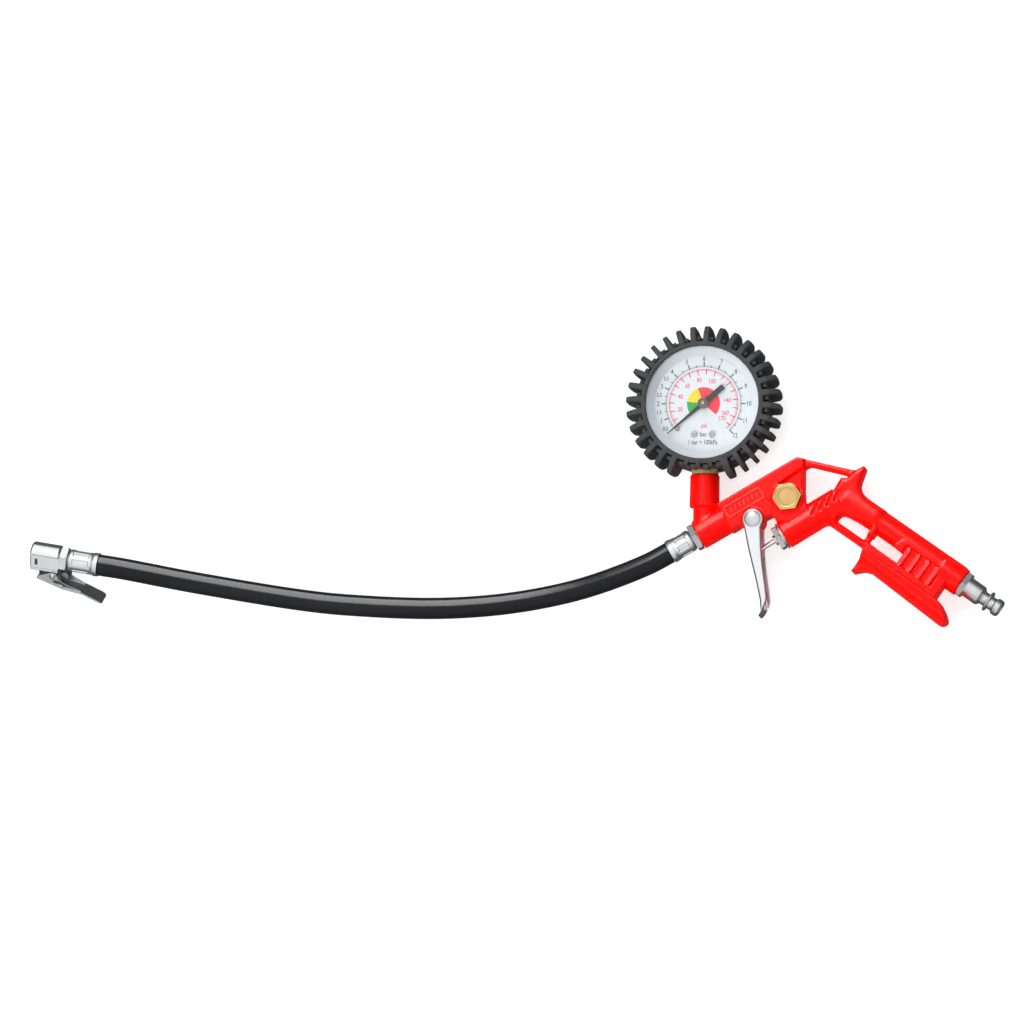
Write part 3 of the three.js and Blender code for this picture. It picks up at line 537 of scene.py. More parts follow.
look("ink_red", (0.72, 0.03, 0.05), (0.78, 0.05, 0.07), (0.5, 0.6), relief=0.0005)
look("sector_red", (0.78, 0.010, 0.030), (0.84, 0.015, 0.045), (0.45, 0.55), relief=0.0005)
look("sector_yellow", (0.90, 0.56, 0.0), (0.95, 0.62, 0.0), (0.45, 0.55), relief=0.0005)
look("sector_green", (0.0, 0.32, 0.05), (0.0, 0.36, 0.06), (0.45, 0.55), relief=0.0005)
look("lens", (0.75, 0.80, 0.85), (0.85, 0.90, 0.95), (0.12, 0.18), relief=0.0, Alpha=0.03)


def dress_cad_nodes():
    """Gives each CAD node that still shows the material of its slot."""
    for part in frame["record"]["subparts"]:
        node = frame["nodes"][part["node"]]
        if not node.hide_render:
            node.data.materials.clear()
            node.data.materials.append(LOOKS[part["material_slot"]])


# ---------- gun body ----------
BLOCK = [
    (-54.4, -15.0), (-9.9, 11.2, 1), (-6.2, 10.1), (-6.2, -12, 1), (-3, -18), (-14, -25), (-20.6, -25),
    (-23.6, -20.9, 1), (-28, -23.2), (-40.5, -26.6), (-45.9, -30.0),
]
RECESS = [(-19.5, -3.6), (-7.4, 4.8), (-7.4, -11)]
BAR = [(-9, 11), (22.3, 3.9), (22, -1), (16.6, 1.6, 1.5), (-3, 6.4, 1.5), (-7, 4)]
HORN = [
    (14.4, 0), (17.2, -0.6, 1), (22.3, 3.9), (26.9, 6.4, 0.8), (28.2, 5.2, 0.8), (24.6, -5.0, 2.5),
    (27.4, -11.4, 4), (38.4, -18.8), (33, -27), (20.6, -22.6, 2), (15, -20.4, 2), (11, -24.6), (4, -18),
]
GRIP = [
    (-1.5, -7, 0.8), (16.4, -7), (16.4, -54.6), (11.6, -54.6), (11.6, -35.2, 0.8), (5.6, -35.2, 1),
    (5.1, -43, 2), (-1.5, -39.5, 2),
]
RIDGE = [(1.4, -58, 1.2), (8, -58), (8, -54.8), (1.4, -54.8, 1.2)]
BLADE_SIDE = [
    (15.4, -7), (16.1, -2.5), (18.3, 1.4, 1.5), (22, 6.4, 2.5), (26.9, 5, 2.5), (24.7, -39.3),
    (24.4, -47, 2.5), (29.6, -52, 0.5), (29.6, -53.6, 0.5), (22, -53.2, 4), (15.4, -55),
]
# Half thicknesses, and a height that is past every face.
BODY_HALF, BAR_HALF, HORN_HALF, GRIP_HALF, DEEP = 7.5, 4.2, 7, 7.2, 12
PLUG_BOSS_RADIUS, PLUG_BOSS_HALF, PLUG_BORE = 8.9, 8, 4.65
RECESS_FLOOR, RECESS_EDGE = 4.2, 7.8
PIVOT_BOSS_RADIUS, PIVOT_BOSS_HALF, PIVOT_BORE = 6.2, 8.2, 2.3
# Round bars along their own axes: radius, start and end.
OUTLET_TUBE, BARREL_TUBE = (8.25, -18, 0), (8.1, -36, 0)
INLET_BOSS, GAUGE_NECK = (8, -14, 0), (6.2, -26, -15)
HANDLE_TUBE, HANDLE_OFFSET = (6.85, -80, -2), 1.6
GAUGE_BOSS_RADIUS, GAUGE_BOSS_START, GAUGE_BOSS_END, GAUGE_BOSS_DRAFT = 8.3, -16.2, 1.7, 0.012
GAUGE_STAND = Matrix.Translation((middle("gauge_lens")[0], 0, 0))
# Bores along their own axes: radius, start, end and edge.
BORES = [
    (BARREL, (5.7, -13.3, 1, 0.1)), (BARREL, (4.9, -32, 0, 0.1)), (INLET, (5, -11, 1, 0.2)),
    (INLET, (2.8, -78, 0, 0.1)), (OUTLET, (4.95, -12, 1, 0.2)), (OUTLET, (2.4, -52, 0, 0.1)),
    (GAUGE_STAND, (5, -7, 3, 0.2)),
]
# Boxes in the inlet's axes, as lowest and highest corners.
TROUGH = (0.2, -36.5, 5.2), (12, -12.4, 9)
REAR_BAR = (11.5, -84, -4.6), (15.6, -50, 4.6)
BRIDGE = (4, -58.1, -3), (12, -54.8, 3)
LANES, LANE_HALF, LANE_FLOOR = (12.7, 14.4), 0.4, 3.8
RIB_FIRST, RIB_PITCH, RIB_COUNT, RIB_WIDTH, RIB_TOP = -33.8, 6.3, 4, 2.8, 7.1
RIB_SLOPE, RIB_FADE = 0.22, 0.25
BLADE_HALF, BLADE_DEPTH, BLADE_MIDDLE, BLADE_TILT, SPIKE_HALF = 12, 9.4, 17.4, math.radians(2.6), 7
POCKET_FIRST, POCKET_PITCH, POCKET_COUNT, POCKET_SIDE = -22.0, -4.77, 4, 2.3
POCKET_HALF, POCKET_FLOOR, POCKET_SLANT = (3.4, 1.05), 5.6, math.radians(-52)


def handle_field(x, y, z):
    """The handle in the inlet's axes: +y out of the inlet and +x to the finger side."""
    trough = box(x, y, np.abs(z), *TROUGH, 0.7)
    tube = cut(rod(x + HANDLE_OFFSET, y, z, *HANDLE_TUBE, 0.8), trough, 0.5)
    grip = cut(slab(x, y, z, GRIP, -GRIP_HALF, GRIP_HALF, 0.6), trough, 0.5)
    bar = box(x, y, z, *REAR_BAR, 0.5)
    for lane in LANES:
        groove = box(x, y, np.abs(z), (lane - LANE_HALF, -90, LANE_FLOOR), (lane + LANE_HALF, -56, 6), 0.1)
        bar = cut(bar, groove, 0.3)
    ridge = slab(x, y, z, RIDGE, -GRIP_HALF, GRIP_HALF, 0.9)
    body = join(join(tube, rod(x, y, z, *INLET_BOSS, 0.7), 0.8), grip, 0.7)
    for i in range(RIB_COUNT):
        at = RIB_FIRST + i * RIB_PITCH
        half = RIB_WIDTH / 2 - RIB_FADE * np.clip(2.5 - x, 0, 2.5)
        top = RIB_TOP + RIB_SLOPE * (y - at) - RIB_FADE * np.clip(2.2 - x, 0, 2.2)
        rib = both(both(np.abs(y - at) - half, span(x, 0.6, 12), 0.6), np.abs(z) - top, 0.25)
        body = join(body, rib, 0.3)
    return join(join(body, join(bar, box(x, y, z, *BRIDGE, 0.8), 1.2), 1.2), ridge, 0.8)


def blade_field(x, y, z):
    """The half-round finger blade and its spike, in the inlet's axes."""
    across = (x - BLADE_MIDDLE) * math.cos(BLADE_TILT) - y * math.sin(BLADE_TILT)
    round_bar = (np.hypot(across / BLADE_DEPTH, z / BLADE_HALF) - 1) * BLADE_DEPTH
    blade = both(slab(x, y, z, BLADE_SIDE, -BLADE_HALF, BLADE_HALF, 0.8), round_bar, 1.4)
    spike = both(slab(x, y, z, BLADE_SIDE, -SPIKE_HALF, SPIKE_HALF, 1.2), span(x, 23, 32), 0.3)
    return join(blade, both(spike, span(y, -56, -45), 0.3), 1.5)


def pocket_field(x, y, z, number):
    """One slanted pocket on each face of the barrel, in the barrel's axes."""
    across, along = x - POCKET_SIDE, y - (POCKET_FIRST + number * POCKET_PITCH)
    c, s = math.cos(POCKET_SLANT), math.sin(POCKET_SLANT)
    u, v = across * c + along * s, -across * s + along * c
    outline = both(np.abs(u) - POCKET_HALF[0], np.abs(v) - POCKET_HALF[1], 0.9)
    return both(outline, span(np.abs(z), POCKET_FLOOR, DEEP), 0.2)


def gun_field(x, y, z):
    """The red casting."""
    from_plug, from_pivot = (np.hypot(x - at.translation.x, y - at.translation.y) for at in (PLUG, PIVOT))
    outlet, barrel, inlet, gauge = (local(at, x, y, z) for at in (OUTLET, BARREL, INLET, GAUGE_STAND))
    block = slab(x, y, z, BLOCK, -BODY_HALF, BODY_HALF, 0.9)
    block = join(block, both(from_plug - PLUG_BOSS_RADIUS, np.abs(z) - PLUG_BOSS_HALF, 0.7), 0.9)
    recess = both(slab(x, y, np.abs(z), RECESS, RECESS_FLOOR, DEEP, 0.8), RECESS_EDGE - from_plug, 0.6)
    block = cut(block, recess, 1.2)
    block = join(block, both(from_pivot - PIVOT_BOSS_RADIUS, np.abs(z) - PIVOT_BOSS_HALF, 0.4), 0.6)
    body = join(block, rod(*outlet, *OUTLET_TUBE, 0.7), 0.7)
    frame_bar = slab(x, y, z, BAR, -BAR_HALF, BAR_HALF, 1.2)
    horn = slab(x, y, z, HORN, -HORN_HALF, HORN_HALF, 2.6)
    body = join(join(body, rod(*barrel, *BARREL_TUBE, 0.7), 1.2), join(frame_bar, horn, 1.5), 1.2)
    for number in range(POCKET_COUNT):
        body = cut(body, pocket_field(*barrel, number), 0.5)
    boss_radius = GAUGE_BOSS_RADIUS - GAUGE_BOSS_DRAFT * (y + 16)
    body = join(body, rod(*gauge, *GAUGE_NECK, 0.4), 1.0)
    body = join(body, rod(*gauge, boss_radius, GAUGE_BOSS_START, GAUGE_BOSS_END, 0.5), 0.5)
    body = join(body, handle_field(*inlet), 2.2)
    body = join(body, blade_field(*inlet), 0.5)
    for at, bore in BORES:
        body = cut(body, rod(*local(at, x, y, z), *bore), 0.3)
    body = cut(body, both(from_plug - PLUG_BORE, span(z, -3, 10), 0.2), 0.3)
    return cut(body, from_pivot - PIVOT_BORE, 0.3)


LABEL = place((-38.9, -14.3, BODY_HALF), heading(120.5))
LABEL_HALF, LABEL_RIM, LABEL_RAISED = (11.75, 3.65), 1, 0.8
SLANTS, SLANT_PITCH, SLANT_LEAN, SLANT_HALF, SLANT_RAISED = 7, 2.7, 0.25, (0.5, 1.6), 0.65


def label_field(x, y, z):
    """The raised frame of the label plate, with plain slanted bars in it."""
    out_x, out_y = np.abs(x) - LABEL_HALF[0], np.abs(y) - LABEL_HALF[1]
    rim = both(both(out_x, out_y, 1.2), span(z, -LABEL_RAISED, LABEL_RAISED), 0.12)
    well = both(both(out_x + LABEL_RIM, out_y + LABEL_RIM, 0.7), span(z, -3, 3), 0.1)
    made = cut(rim, well, 0.1)
    for i in range(SLANTS):
        u = x - (i - SLANTS // 2) * SLANT_PITCH - SLANT_LEAN * y
        bar = both(np.abs(u) - SLANT_HALF[0], np.abs(y) - SLANT_HALF[1], 0.4)
        made = join(made, both(bar, span(z, -LABEL_RAISED, SLANT_RAISED), 0.12), 0.1)
    return made


def make_gun():
    low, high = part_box("gun_body")
    margin = Vector((1, 1, 1))
    shape = skin(gun_field, point(low) - margin, point(high) + margin, step=0.42)
    add("gun_casting", shape, GUN, "red_powder_coat", "gun_body", sharp=None)
    label = skin(label_field, (-13, -5, -1), (13, 5, 1), step=0.14)
    # The label frame takes the lighter red, a painted highlight on its edges.
    add("label_frame", label, LABEL, "red_painted_highlight", sharp=None)


# ---------- turned fittings ----------
FLATS = 14


def make_inlet_plug():
    spindle = turned([
        (2.6, -9), (4.7, -9), (4.7, 1), (5.65, 1), (5.65, 12.3, 0.3), (3.75, 14.2, 0.4), (3.75, 16.8, 0.3),
        (5.4, 17, 0.3), (6, 17.5, 0.3), (6, 18.1, 0.3), (5.4, 18.5, 0.3), (3.75, 18.7, 0.3),
        (3.75, 21.2, 0.4), (4.9, 22.2, 0.4), (4.9, 24.8, 0.4), (4.2, PLUG_END, 0.3), (2.6, PLUG_END, 0.2),
    ])
    plug = merged(spindle, hexagon(FLATS, 3.5, 0.3, 3.2))
    add("inlet_plug_turned", plug, INLET, "steel", "inlet_plug")


VALVE_PLUG_TURN = Matrix.Rotation(math.radians(37), 4, "Z")


def make_valve_plug():
    head = moved(hexagon(FLATS, 5.0, 8.3, 11.7), VALVE_PLUG_TURN @ UPRIGHT)
    dish = disc([
        (4.2, 2), (4.2, 11), (5.0, 11.0, 0.1), (5.4, 11.75, 0.2), (6.2, 11.95, 0.2), (6.5, 11.7), (5.2, 8.6),
        (5.2, 2),
    ])
    add("valve_plug_head", merged(head, dish), PLUG, "brass", "valve_plug")
    face = disc([(0, 10.4), (4.95, 10.4), (4.95, 11.05, 0.15), (0, 11.1)], closed=False)
    add("valve_plug_face", face, PLUG, "brass_faced")


def make_gland():
    washer = turned([(5.9, 0.3, 0.1), (7.75, 0.3, 0.2), (7.75, 1.3, 0.3), (5.9, 1.3, 0.2)])
    add("gland_flange", washer, BARREL, "steel", "gland_washer")
    core = turned([(1.6, 6, 0.2), (3, 6, 0.3), (3, 3), (5.4, 3), (5.4, -6), (2.9, -6), (2.9, -3), (1.6, -3)])
    nut = merged(core, hexagon(12.8, 2.8, 1.6, 4.5))
    add("gland_nut_turned", nut, BARREL, "steel", "gland_nut")


def make_valve_stem():
    stem = turned([
        (0, -17.6), (3.2, -17.6, 0.1), (3.2, -16.9, 0.1), (1.25, -16.9), (1.25, 18.7, 0.3),
        (0.7, 19.3, 0.2), (0, 19.3),
    ], 48, closed=False)
    add("valve_stem_pin", stem, BARREL, "chrome", "valve_stem", body="valve")


SPRING_TURNS, SPRING_START, SPRING_END, SPRING_RADIUS, SPRING_WIRE = 6.5, -30.6, -18.3, 3.8, 0.38


def make_valve_spring():
    t = np.linspace(0, 1, 200)
    angle, along = 2 * np.pi * SPRING_TURNS * t, SPRING_START + (SPRING_END - SPRING_START) * t
    wire = np.stack([SPRING_RADIUS * np.cos(angle), along, SPRING_RADIUS * np.sin(angle)], axis=1)
    spring = add("valve_spring_coil", tube(wire, SPRING_WIRE, 8), BARREL, "steel", "valve_spring")
    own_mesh(spring)


# ---------- trigger ----------
LEVER_WEB = [(-5.4, -1.6), (-2.2, -16.8), (2.0, -33.1), (4.6, -44.7), (5.2, -51.0), (3.8, -53.6)]
LEVER_EDGE = [
    (5.5, -52, 1), (8.1, -47, 2), (8.7, -43.8, 1), (7.9, -37.4), (6.1, -25.3), (5.1, -15.1), (4.6, -3.2),
]
LEVER_DISC, CHEEK_IN, CHEEK_OUT, SHEET = 6.0, 8.5, 9.75, 1.3


def lever_field(x, y, z):
    """A pressed channel: a disc round the pivot and two cheeks, joined by a web on the finger side."""
    side = join(polygon(x, y, rounded(LEVER_WEB + LEVER_EDGE)), np.hypot(x, y) - LEVER_DISC, 0.8)
    whole = both(side, np.abs(z) - CHEEK_OUT, 1.5)
    inner = [(px + SHEET, py) for px, py in LEVER_WEB[1:]]
    hollow = [(-12, 14), (-12, -10.5), (inner[0][0] - 1.6, -10.5), *inner, (4, -62), (22, -62), (22, 14)]
    made = cut(whole, both(polygon(x, y, hollow), np.abs(z) - CHEEK_IN, 0.7), 0.15)
    return cut(made, np.hypot(x, y) - PIVOT_BORE, 0.1)


def make_trigger():
    shape = skin(lever_field, (-7, -56, -11), (10, 7, 11), step=0.3)
    add("trigger_channel", shape, PIVOT, "chrome", "trigger_lever", body="trigger", sharp=None)
    head = CHEEK_OUT + 0.25
    rivet = disc(mirrored([
        (0, head + 1.35), (1.8, head + 1.25, 0.8), (3.6, head + 0.85, 1), (4.7, head + 0.2, 0.3),
        (4.7, head - 0.2), (2, head - 0.2),
    ]), closed=False)
    add("trigger_rivet_domed", rivet, PIVOT, "steel", "trigger_rivet", body="trigger")


# ---------- gauge ----------
# The lugs are evenly spaced, with three left out at the stem and a few beside them set closer together.
LUG_COUNT, LUG_MISSING, LUG_PHASE = 32, (23, 24, 25), 0.25
CROWDED_FIRST, CROWDED_COUNT, CROWDED_SHIFT = 26, 5, math.radians(3)
LUG_ROOT, LUG_TAPER, SIDE_RADIUS = 1.62, 0.03, 35.6
LUG_SIDE = [
    (34.2, 16), (33.6, 17.6), (33.6, 19.2, 0.6), (37.6, 19.4, 1.5), (42.0, 16.2, 0.8), (43.1, 13.4, 0.8),
    (43.1, -3, 6), (40.4, -11.2, 2.5), (34.2, -11.4),
]
CARCASS = [
    (21, -12, 0.5), (34.7, -12, 0.8), (36.2, -10.5, 0.8), (36.2, 17.2, 0.6), (35.0, 18.4, 0.6),
    (32.2, 19.2, 0.8), (31.3, 18.4, 0.4), (31.3, 17.5), (34.3, 17.5), (34.3, -9.4), (21, -9.4),
]
# Boxes between two lugs, in reach, length round the side, and height.
NOTCH = (34.0, 1.2, 14.0), (40, 5.8, 24)
BLOCK_BETWEEN = (34.5, 3.0, 8), (36.8, 5.6, 17.0)
STEM_HOLE = (8.6, -46, -28)


def boot_field(x, y, z):
    """The rubber boot: a carcass with straight lugs wrapped over its side, and small blocks in between."""
    reach = np.hypot(x, y)
    step = 2 * np.pi / LUG_COUNT
    angle = np.mod(np.arctan2(y, x), 2 * np.pi)
    even = angle / step + LUG_PHASE
    past = (even - CROWDED_FIRST + 0.5) / CROWDED_COUNT
    crowd = np.where(past > 0, np.clip(1 - past, 0, 1), 0) * smooth(0, 0.2, past) * CROWDED_SHIFT
    even = even - crowd / step
    number = np.round(even)
    turn = (even - number) * step
    out, across = reach * np.cos(turn), reach * np.sin(turn)
    arc = (even - np.floor(even)) * step * SIDE_RADIUS
    carcass = polygon(reach, z, rounded(CARCASS, steps=4))
    carcass = cut(carcass, box(reach, arc, z, *NOTCH, 0.2), 0.2)
    carcass = join(carcass, box(reach, arc, z, *BLOCK_BETWEEN, 0.35), 0.2)
    profile = polygon(out, z, rounded(LUG_SIDE, steps=4))
    lug = both(profile, np.abs(across) - (LUG_ROOT - LUG_TAPER * (out - 34)), 0.3)
    missing = np.isin(np.mod(number, LUG_COUNT), LUG_MISSING)
    made = np.where(missing, carcass, join(carcass, lug, 0.5))
    return cut(made, rod(x, y, z, *STEM_HOLE, 0.3), 0.4)


def make_boot():
    shape = skin(boot_field, (-44, -44, -13), (44, 44, 20.5), step=0.42)
    add("boot_moulding", shape, GAUGE, "boot_rubber", "gauge_boot", sharp=None)


def make_gauge_shell():
    case = disc([
        (0, -9.1), (24, -9.1, 0.8), (25, -8.6, 0.6), (29, -8.6, 0.6), (30, -9.1, 0.6), (34, -9.1, 1.2),
        (34, 17.2, 0.3), (32.8, 17.2, 0.3), (32.8, -7.6), (0, -7.6),
    ], 128, closed=False)
    add("case_cup", case, GAUGE, "steel", "gauge_case")
    stem = merged(
        turned([(1.4, -45.1, 0.2), (4.7, -45.1, 0.5), (4.7, -36), (5, -35), (5, -29), (1.4, -29)]),
        hexagon(FLATS, 4.4, -38.2, -34.4),
        turned([(0, -30), (6, -30, 0.4), (6, -18.6, 1), (4.6, -17.4, 0.4), (0, -17.4)], closed=False),
    )
    add("stem_hexagon", stem, GAUGE, "brass_knurled", "gauge_stem")
    cone = [(27.4, 11.35), (28.4, 11.35), (31.7, 14.9), (32.4, 14.9), (32.4, 15.4), (31.0, 15.4, 0.3)]
    add("ring_cone", disc(cone, 128), GAUGE, "white_enamel", "gauge_ring")
    pane = disc([(0, 15.7), (32.4, 15.7, 0.2), (32.4, 17, 0.3), (0, 17)], 128, closed=False)
    add("lens_pane", pane, GAUGE, "lens", "gauge_lens").visible_shadow = False


POINTER = GAUGE @ Matrix.Rotation(math.radians(220.5), 4, "Z")
STOP = GAUGE @ Matrix.Translation(heading(224.6) * 19.9)


def make_pointer():
    half = [(-14.6, -1.55, 0.2), (-4, -1.4), (0, -1.7), (2, -1.15), (26, -0.22, 0.1)]
    outline = rounded(mirrored(half))
    hand = prism(outline, 12.5, 13)
    bevel(add("pointer_hand", hand, POINTER, "pointer_black", "gauge_pointer", body="pointer"), 0.1)
    cap = disc([
        (0, 14.35), (0.7, 14.2, 0.3), (1.2, 13.75, 0.3), (2.0, 13.75, 0.2), (2.3, 14.35, 0.2),
        (2.75, 14.4, 0.2), (3.1, 13.9, 0.2), (3.1, 13.3), (0, 13.3),
    ], 64, closed=False)
    add("pointer_hub", cap, POINTER, "pointer_steel", "pointer_cap", body="pointer")
    stop = disc([(0, 10.2), (0.8, 10.2), (0.8, 13.1, 0.4), (0, 13.4)], 32, closed=False)
    add("stop_pin", stop, STOP, "brass", "pointer_stop_pin")


SCREW_X, SCREW_Y, SCREW_Z = 4.95, -17, 11.35
SCREW_RADIUS, SCREW_TOP, SCREW_SLOT, SCREW_SHANK, SCREW_TURN = 1.75, 0.9, 0.2, 0.9, 0.6
DIAL_FACE = 11.1


def screw_field(x, y, z):
    """A domed head with a slot, on a short shank."""
    dome = SCREW_TOP - (x * x + y * y) / (SCREW_RADIUS * 7)
    head = both(both(np.hypot(x, y) - SCREW_RADIUS, z - dome, 0.25), -z, 0.05)
    head = cut(head, both(np.abs(y) - SCREW_SLOT, span(z, SCREW_TOP - 0.55, SCREW_TOP + 1), 0.05), 0.06)
    return join(head, both(np.hypot(x, y) - SCREW_SHANK, span(z, -1.6, 0.2), 0.1), 0.1)


def make_dial_screws():
    head = skin(screw_field, (-2, -2, -2), (2, 2, 1.2), step=0.08)
    ring = disc([(2.4, 0, 0), (2.65, 0.09, 0.1), (2.95, 0.09, 0.1), (3.2, 0, 0), (2.8, -0.4)], 48)
    for side, node in ((-1, "dial_screw_left"), (1, "dial_screw_right")):
        turn = Matrix.Rotation(SCREW_TURN + side, 4, "Z")
        at = GAUGE @ Matrix.Translation((side * SCREW_X, SCREW_Y, SCREW_Z)) @ turn
        add(node + "_head", head, at, "screw_steel", node, sharp=None)
        ring_at = GAUGE @ Matrix.Translation((side * SCREW_X, SCREW_Y, DIAL_FACE))
        add(node + "_emboss", ring, ring_at, "white_enamel")


# ---------- dial print ----------
PRINT_LOW, PRINT_HIGH = DIAL_FACE + 0.01, DIAL_FACE + 0.05
BAR_START, BAR_STEP, BAR_TOP = 225.0, -22.5, 12
PSI_IN_BAR = 0.0689476
PSI_TOP = 175
BAR_RADIUS, PSI_RADIUS, SECTOR_RADIUS = 20.6, 19.3, 9.2
SECTORS = [("low", 213, 172, "green"), ("middle", 172, 111, "yellow"), ("high", 111, -41, "red")]


def dial_turn(bar):
    return BAR_START + BAR_STEP * bar


def mark(bar, inner, outer, width):
    """A tick from one radius to another, at a pressure."""
    quad = [(inner, -width / 2), (outer, -width / 2), (outer, width / 2), (inner, width / 2)]
    return moved(prism(quad, PRINT_LOW, PRINT_HIGH), Matrix.Rotation(math.radians(dial_turn(bar)), 4, "Z"))


def sector(start, end, inner, outer, steps=64):
    """Part of a ring between two turns, in degrees."""
    turn = np.radians(np.linspace(start, end, steps))
    arc = lambda r, a: [(r * math.cos(t), r * math.sin(t)) for t in a]
    return prism(arc(outer, turn) + (arc(inner, turn[::-1]) if inner else [(0, 0)]), PRINT_LOW, PRINT_HIGH)


def lettering(text, x, y, size, squeeze=0.78):
    """Printed figures centred on a point of the dial."""
    curve = bpy.data.curves.new("figures", "FONT")
    curve.body, curve.size = text, size
    curve.align_x, curve.align_y = "CENTER", "CENTER"
    curve.extrude = (PRINT_HIGH - PRINT_LOW) / 2
    curve.offset = 0.035
    curve.resolution_u = 4
    holder = bpy.data.objects.new("figures", curve)
    mesh = bpy.data.meshes.new_from_object(holder)
    shift = Matrix.Translation((x, y, (PRINT_LOW + PRINT_HIGH) / 2)) @ Matrix.Diagonal((squeeze, 1, 1, 1))
    made = moved(([tuple(v.co) for v in mesh.vertices], [list(p.vertices) for p in mesh.polygons]), shift)
    bpy.data.objects.remove(holder)
    bpy.data.curves.remove(curve)
    bpy.data.meshes.remove(mesh)
    return made


def figures(text, bar, reach, size):
    turn = math.radians(dial_turn(bar))
    return lettering(text, reach * math.cos(turn), reach * math.sin(turn), size)


def make_print():
    black = [sector(dial_turn(0), dial_turn(BAR_TOP), 20.55, 20.75, 128)]
    black += [mark(b, BAR_RADIUS, 23.5, 0.6) for b in range(1, BAR_TOP + 1)]
    black += [mark(b + 0.5, BAR_RADIUS, 22.0, 0.4) for b in range(BAR_TOP)]
    black += [mark(b / 10, BAR_RADIUS, 21.7, 0.16) for b in range(BAR_TOP * 10)]
    for text in ("0.5", "1", "1.5", "2", "2.5", "3", "3.5", *map(str, range(4, BAR_TOP + 1))):
        black.append(figures(text, float(text), 25.2, 3.1 if "." in text else 3.7))
    black.append(lettering("bar", 0.1, SCREW_Y - 0.1, 3.9))
    black.append(lettering("1 bar = 100kPa", -0.2, -21.6, 3.7, 0.72))
    add("print_black", merged(*black), GAUGE, "ink_black")
    red = [sector(dial_turn(0), dial_turn(PSI_TOP * PSI_IN_BAR), 19.15, 19.4, 128)]
    for psi in range(10, PSI_TOP, 10):
        red.append(mark(psi * PSI_IN_BAR, 16.4 if psi % 20 else 16.2, PSI_RADIUS, 0.55))
    for psi in range(PSI_TOP + 1):
        red.append(mark(psi * PSI_IN_BAR, 17.7 if psi % 10 == 5 else 18.2, PSI_RADIUS, 0.15))
    for psi in (*range(20, 101, 20), 140, 160, 170):
        red.append(figures(str(psi), psi * PSI_IN_BAR, 13.4 if psi < 100 else 13.2, 3.6))
    red.append(lettering("psi", 0.5, -12.2, 3.7))
    add("print_red", merged(*red), GAUGE, "ink_red")
    for level, start, end, colour in SECTORS:
        add("sector_" + level, sector(start, end, 0, SECTOR_RADIUS), GAUGE, "sector_" + colour)


# ---------- hose and ferrules ----------
HOSE_DIAMETER, HOSE_LENGTH = 12, 0.333
ROUTE = [
    (-91.6, -47.0, -0.2), (-111.6, -55.0, -1.6), (-131.8, -61.3, -3.5), (-152.2, -65.8, -5.0),
    (-172.3, -68.9, -5.8), (-192.4, -70.8, -5.9), (-212.6, -71.6, -5.9), (-232.7, -71.3, -5.9),
    (-252.9, -70.3, -5.9), (-273.1, -68.8, -5.8), (-293.1, -66.4, -5.0), (-313.1, -63.5, -3.2),
    (-333.0, -60.4, -0.8), (-352.8, -57.2, 1.7), (-372.6, -53.6, 3.8), (-389, -50.6, 5.0),
]


def through(points, steps=12):
    """A centripetal spline through points."""
    p = [Vector(v) for v in points]
    p = [2 * p[0] - p[1], *p, 2 * p[-1] - p[-2]]
    made = []
    for a, b, c, d in zip(p, p[1:], p[2:], p[3:]):
        t = [0]
        for u, v in ((a, b), (b, c), (c, d)):
            t.append(t[-1] + math.sqrt((v - u).length))
        for i in range(steps):
            s = t[1] + (t[2] - t[1]) * i / steps
            mix = lambda m, n, lo, hi: m * ((hi - s) / (hi - lo)) + n * ((s - lo) / (hi - lo))
            ab, bc, cd = mix(a, b, t[0], t[1]), mix(b, c, t[1], t[2]), mix(c, d, t[2], t[3])
            made.append(mix(mix(ab, bc, t[0], t[2]), mix(bc, cd, t[1], t[3]), t[1], t[2]))
    return [*made, p[-2]]


def make_hose():
    gun_end, chuck_end = OUTLET @ Vector((0, 18.5, 0)), CHUCK @ Vector((0, -0.3, 0))
    curve = bpy.data.curves.new("hose_line", "CURVE")
    curve.dimensions = "3D"
    curve.bevel_depth, curve.bevel_resolution, curve.use_fill_caps = HOSE_DIAMETER / 2 * MM, 10, True
    line = [point_out(GUN, v) for v in through([gun_end, *ROUTE, chuck_end])]
    spline = curve.splines.new("POLY")
    spline.points.add(len(line) - 1)
    for at, v in zip(spline.points, line):
        at.co = (*v, 1)
    spline.use_smooth = True
    hose = bpy.data.objects.new("hose_line", curve)
    bpy.context.scene.collection.objects.link(hose)
    settle(hose, "hose_rubber", "gun", ["hose"])


FERRULE_BORE, FERRULE_LIP, SLEEVE, FERRULE_RING = 3.3, 5.2, 6.2, 6.6
PRESSED_COUNT, PRESSED_DEPTH = 8, 0.42


def ferrule(start, end):
    """A crimped sleeve about +y: a lathe profile with pressed pockets round it, and a ring at its end."""
    turn = np.linspace(0, 2 * np.pi, 256, endpoint=False)
    outer = rounded([
        (FERRULE_BORE, start), (FERRULE_LIP, start, 0.5), (SLEEVE, start + 1, 0.5), (SLEEVE, end - 3.5, 0.8),
        (FERRULE_RING, end - 2.6, 0.5), (FERRULE_RING, end, 0.3), (FERRULE_BORE, end),
    ], closed=False)
    heights = np.linspace(start + 2, end - 4.6, 50)
    head = [p for p in outer if p[1] <= start + 1.7]
    tail = [p for p in outer if p[1] >= end - 4.4]
    line = np.array(head + [(SLEEVE, h) for h in heights] + tail)
    pressed = smooth(0.62, 0.5, np.abs((turn * PRESSED_COUNT / (2 * np.pi)) % 1 - 0.5) * 2)
    along = smooth(start + 2.9, start + 3.4, line[:, 1]) * smooth(end - 5.0, end - 5.5, line[:, 1])
    radii = line[:, :1] - PRESSED_DEPTH * along[:, None] * pressed
    return rings(radii, line[:, 1:] * np.ones(len(turn)))


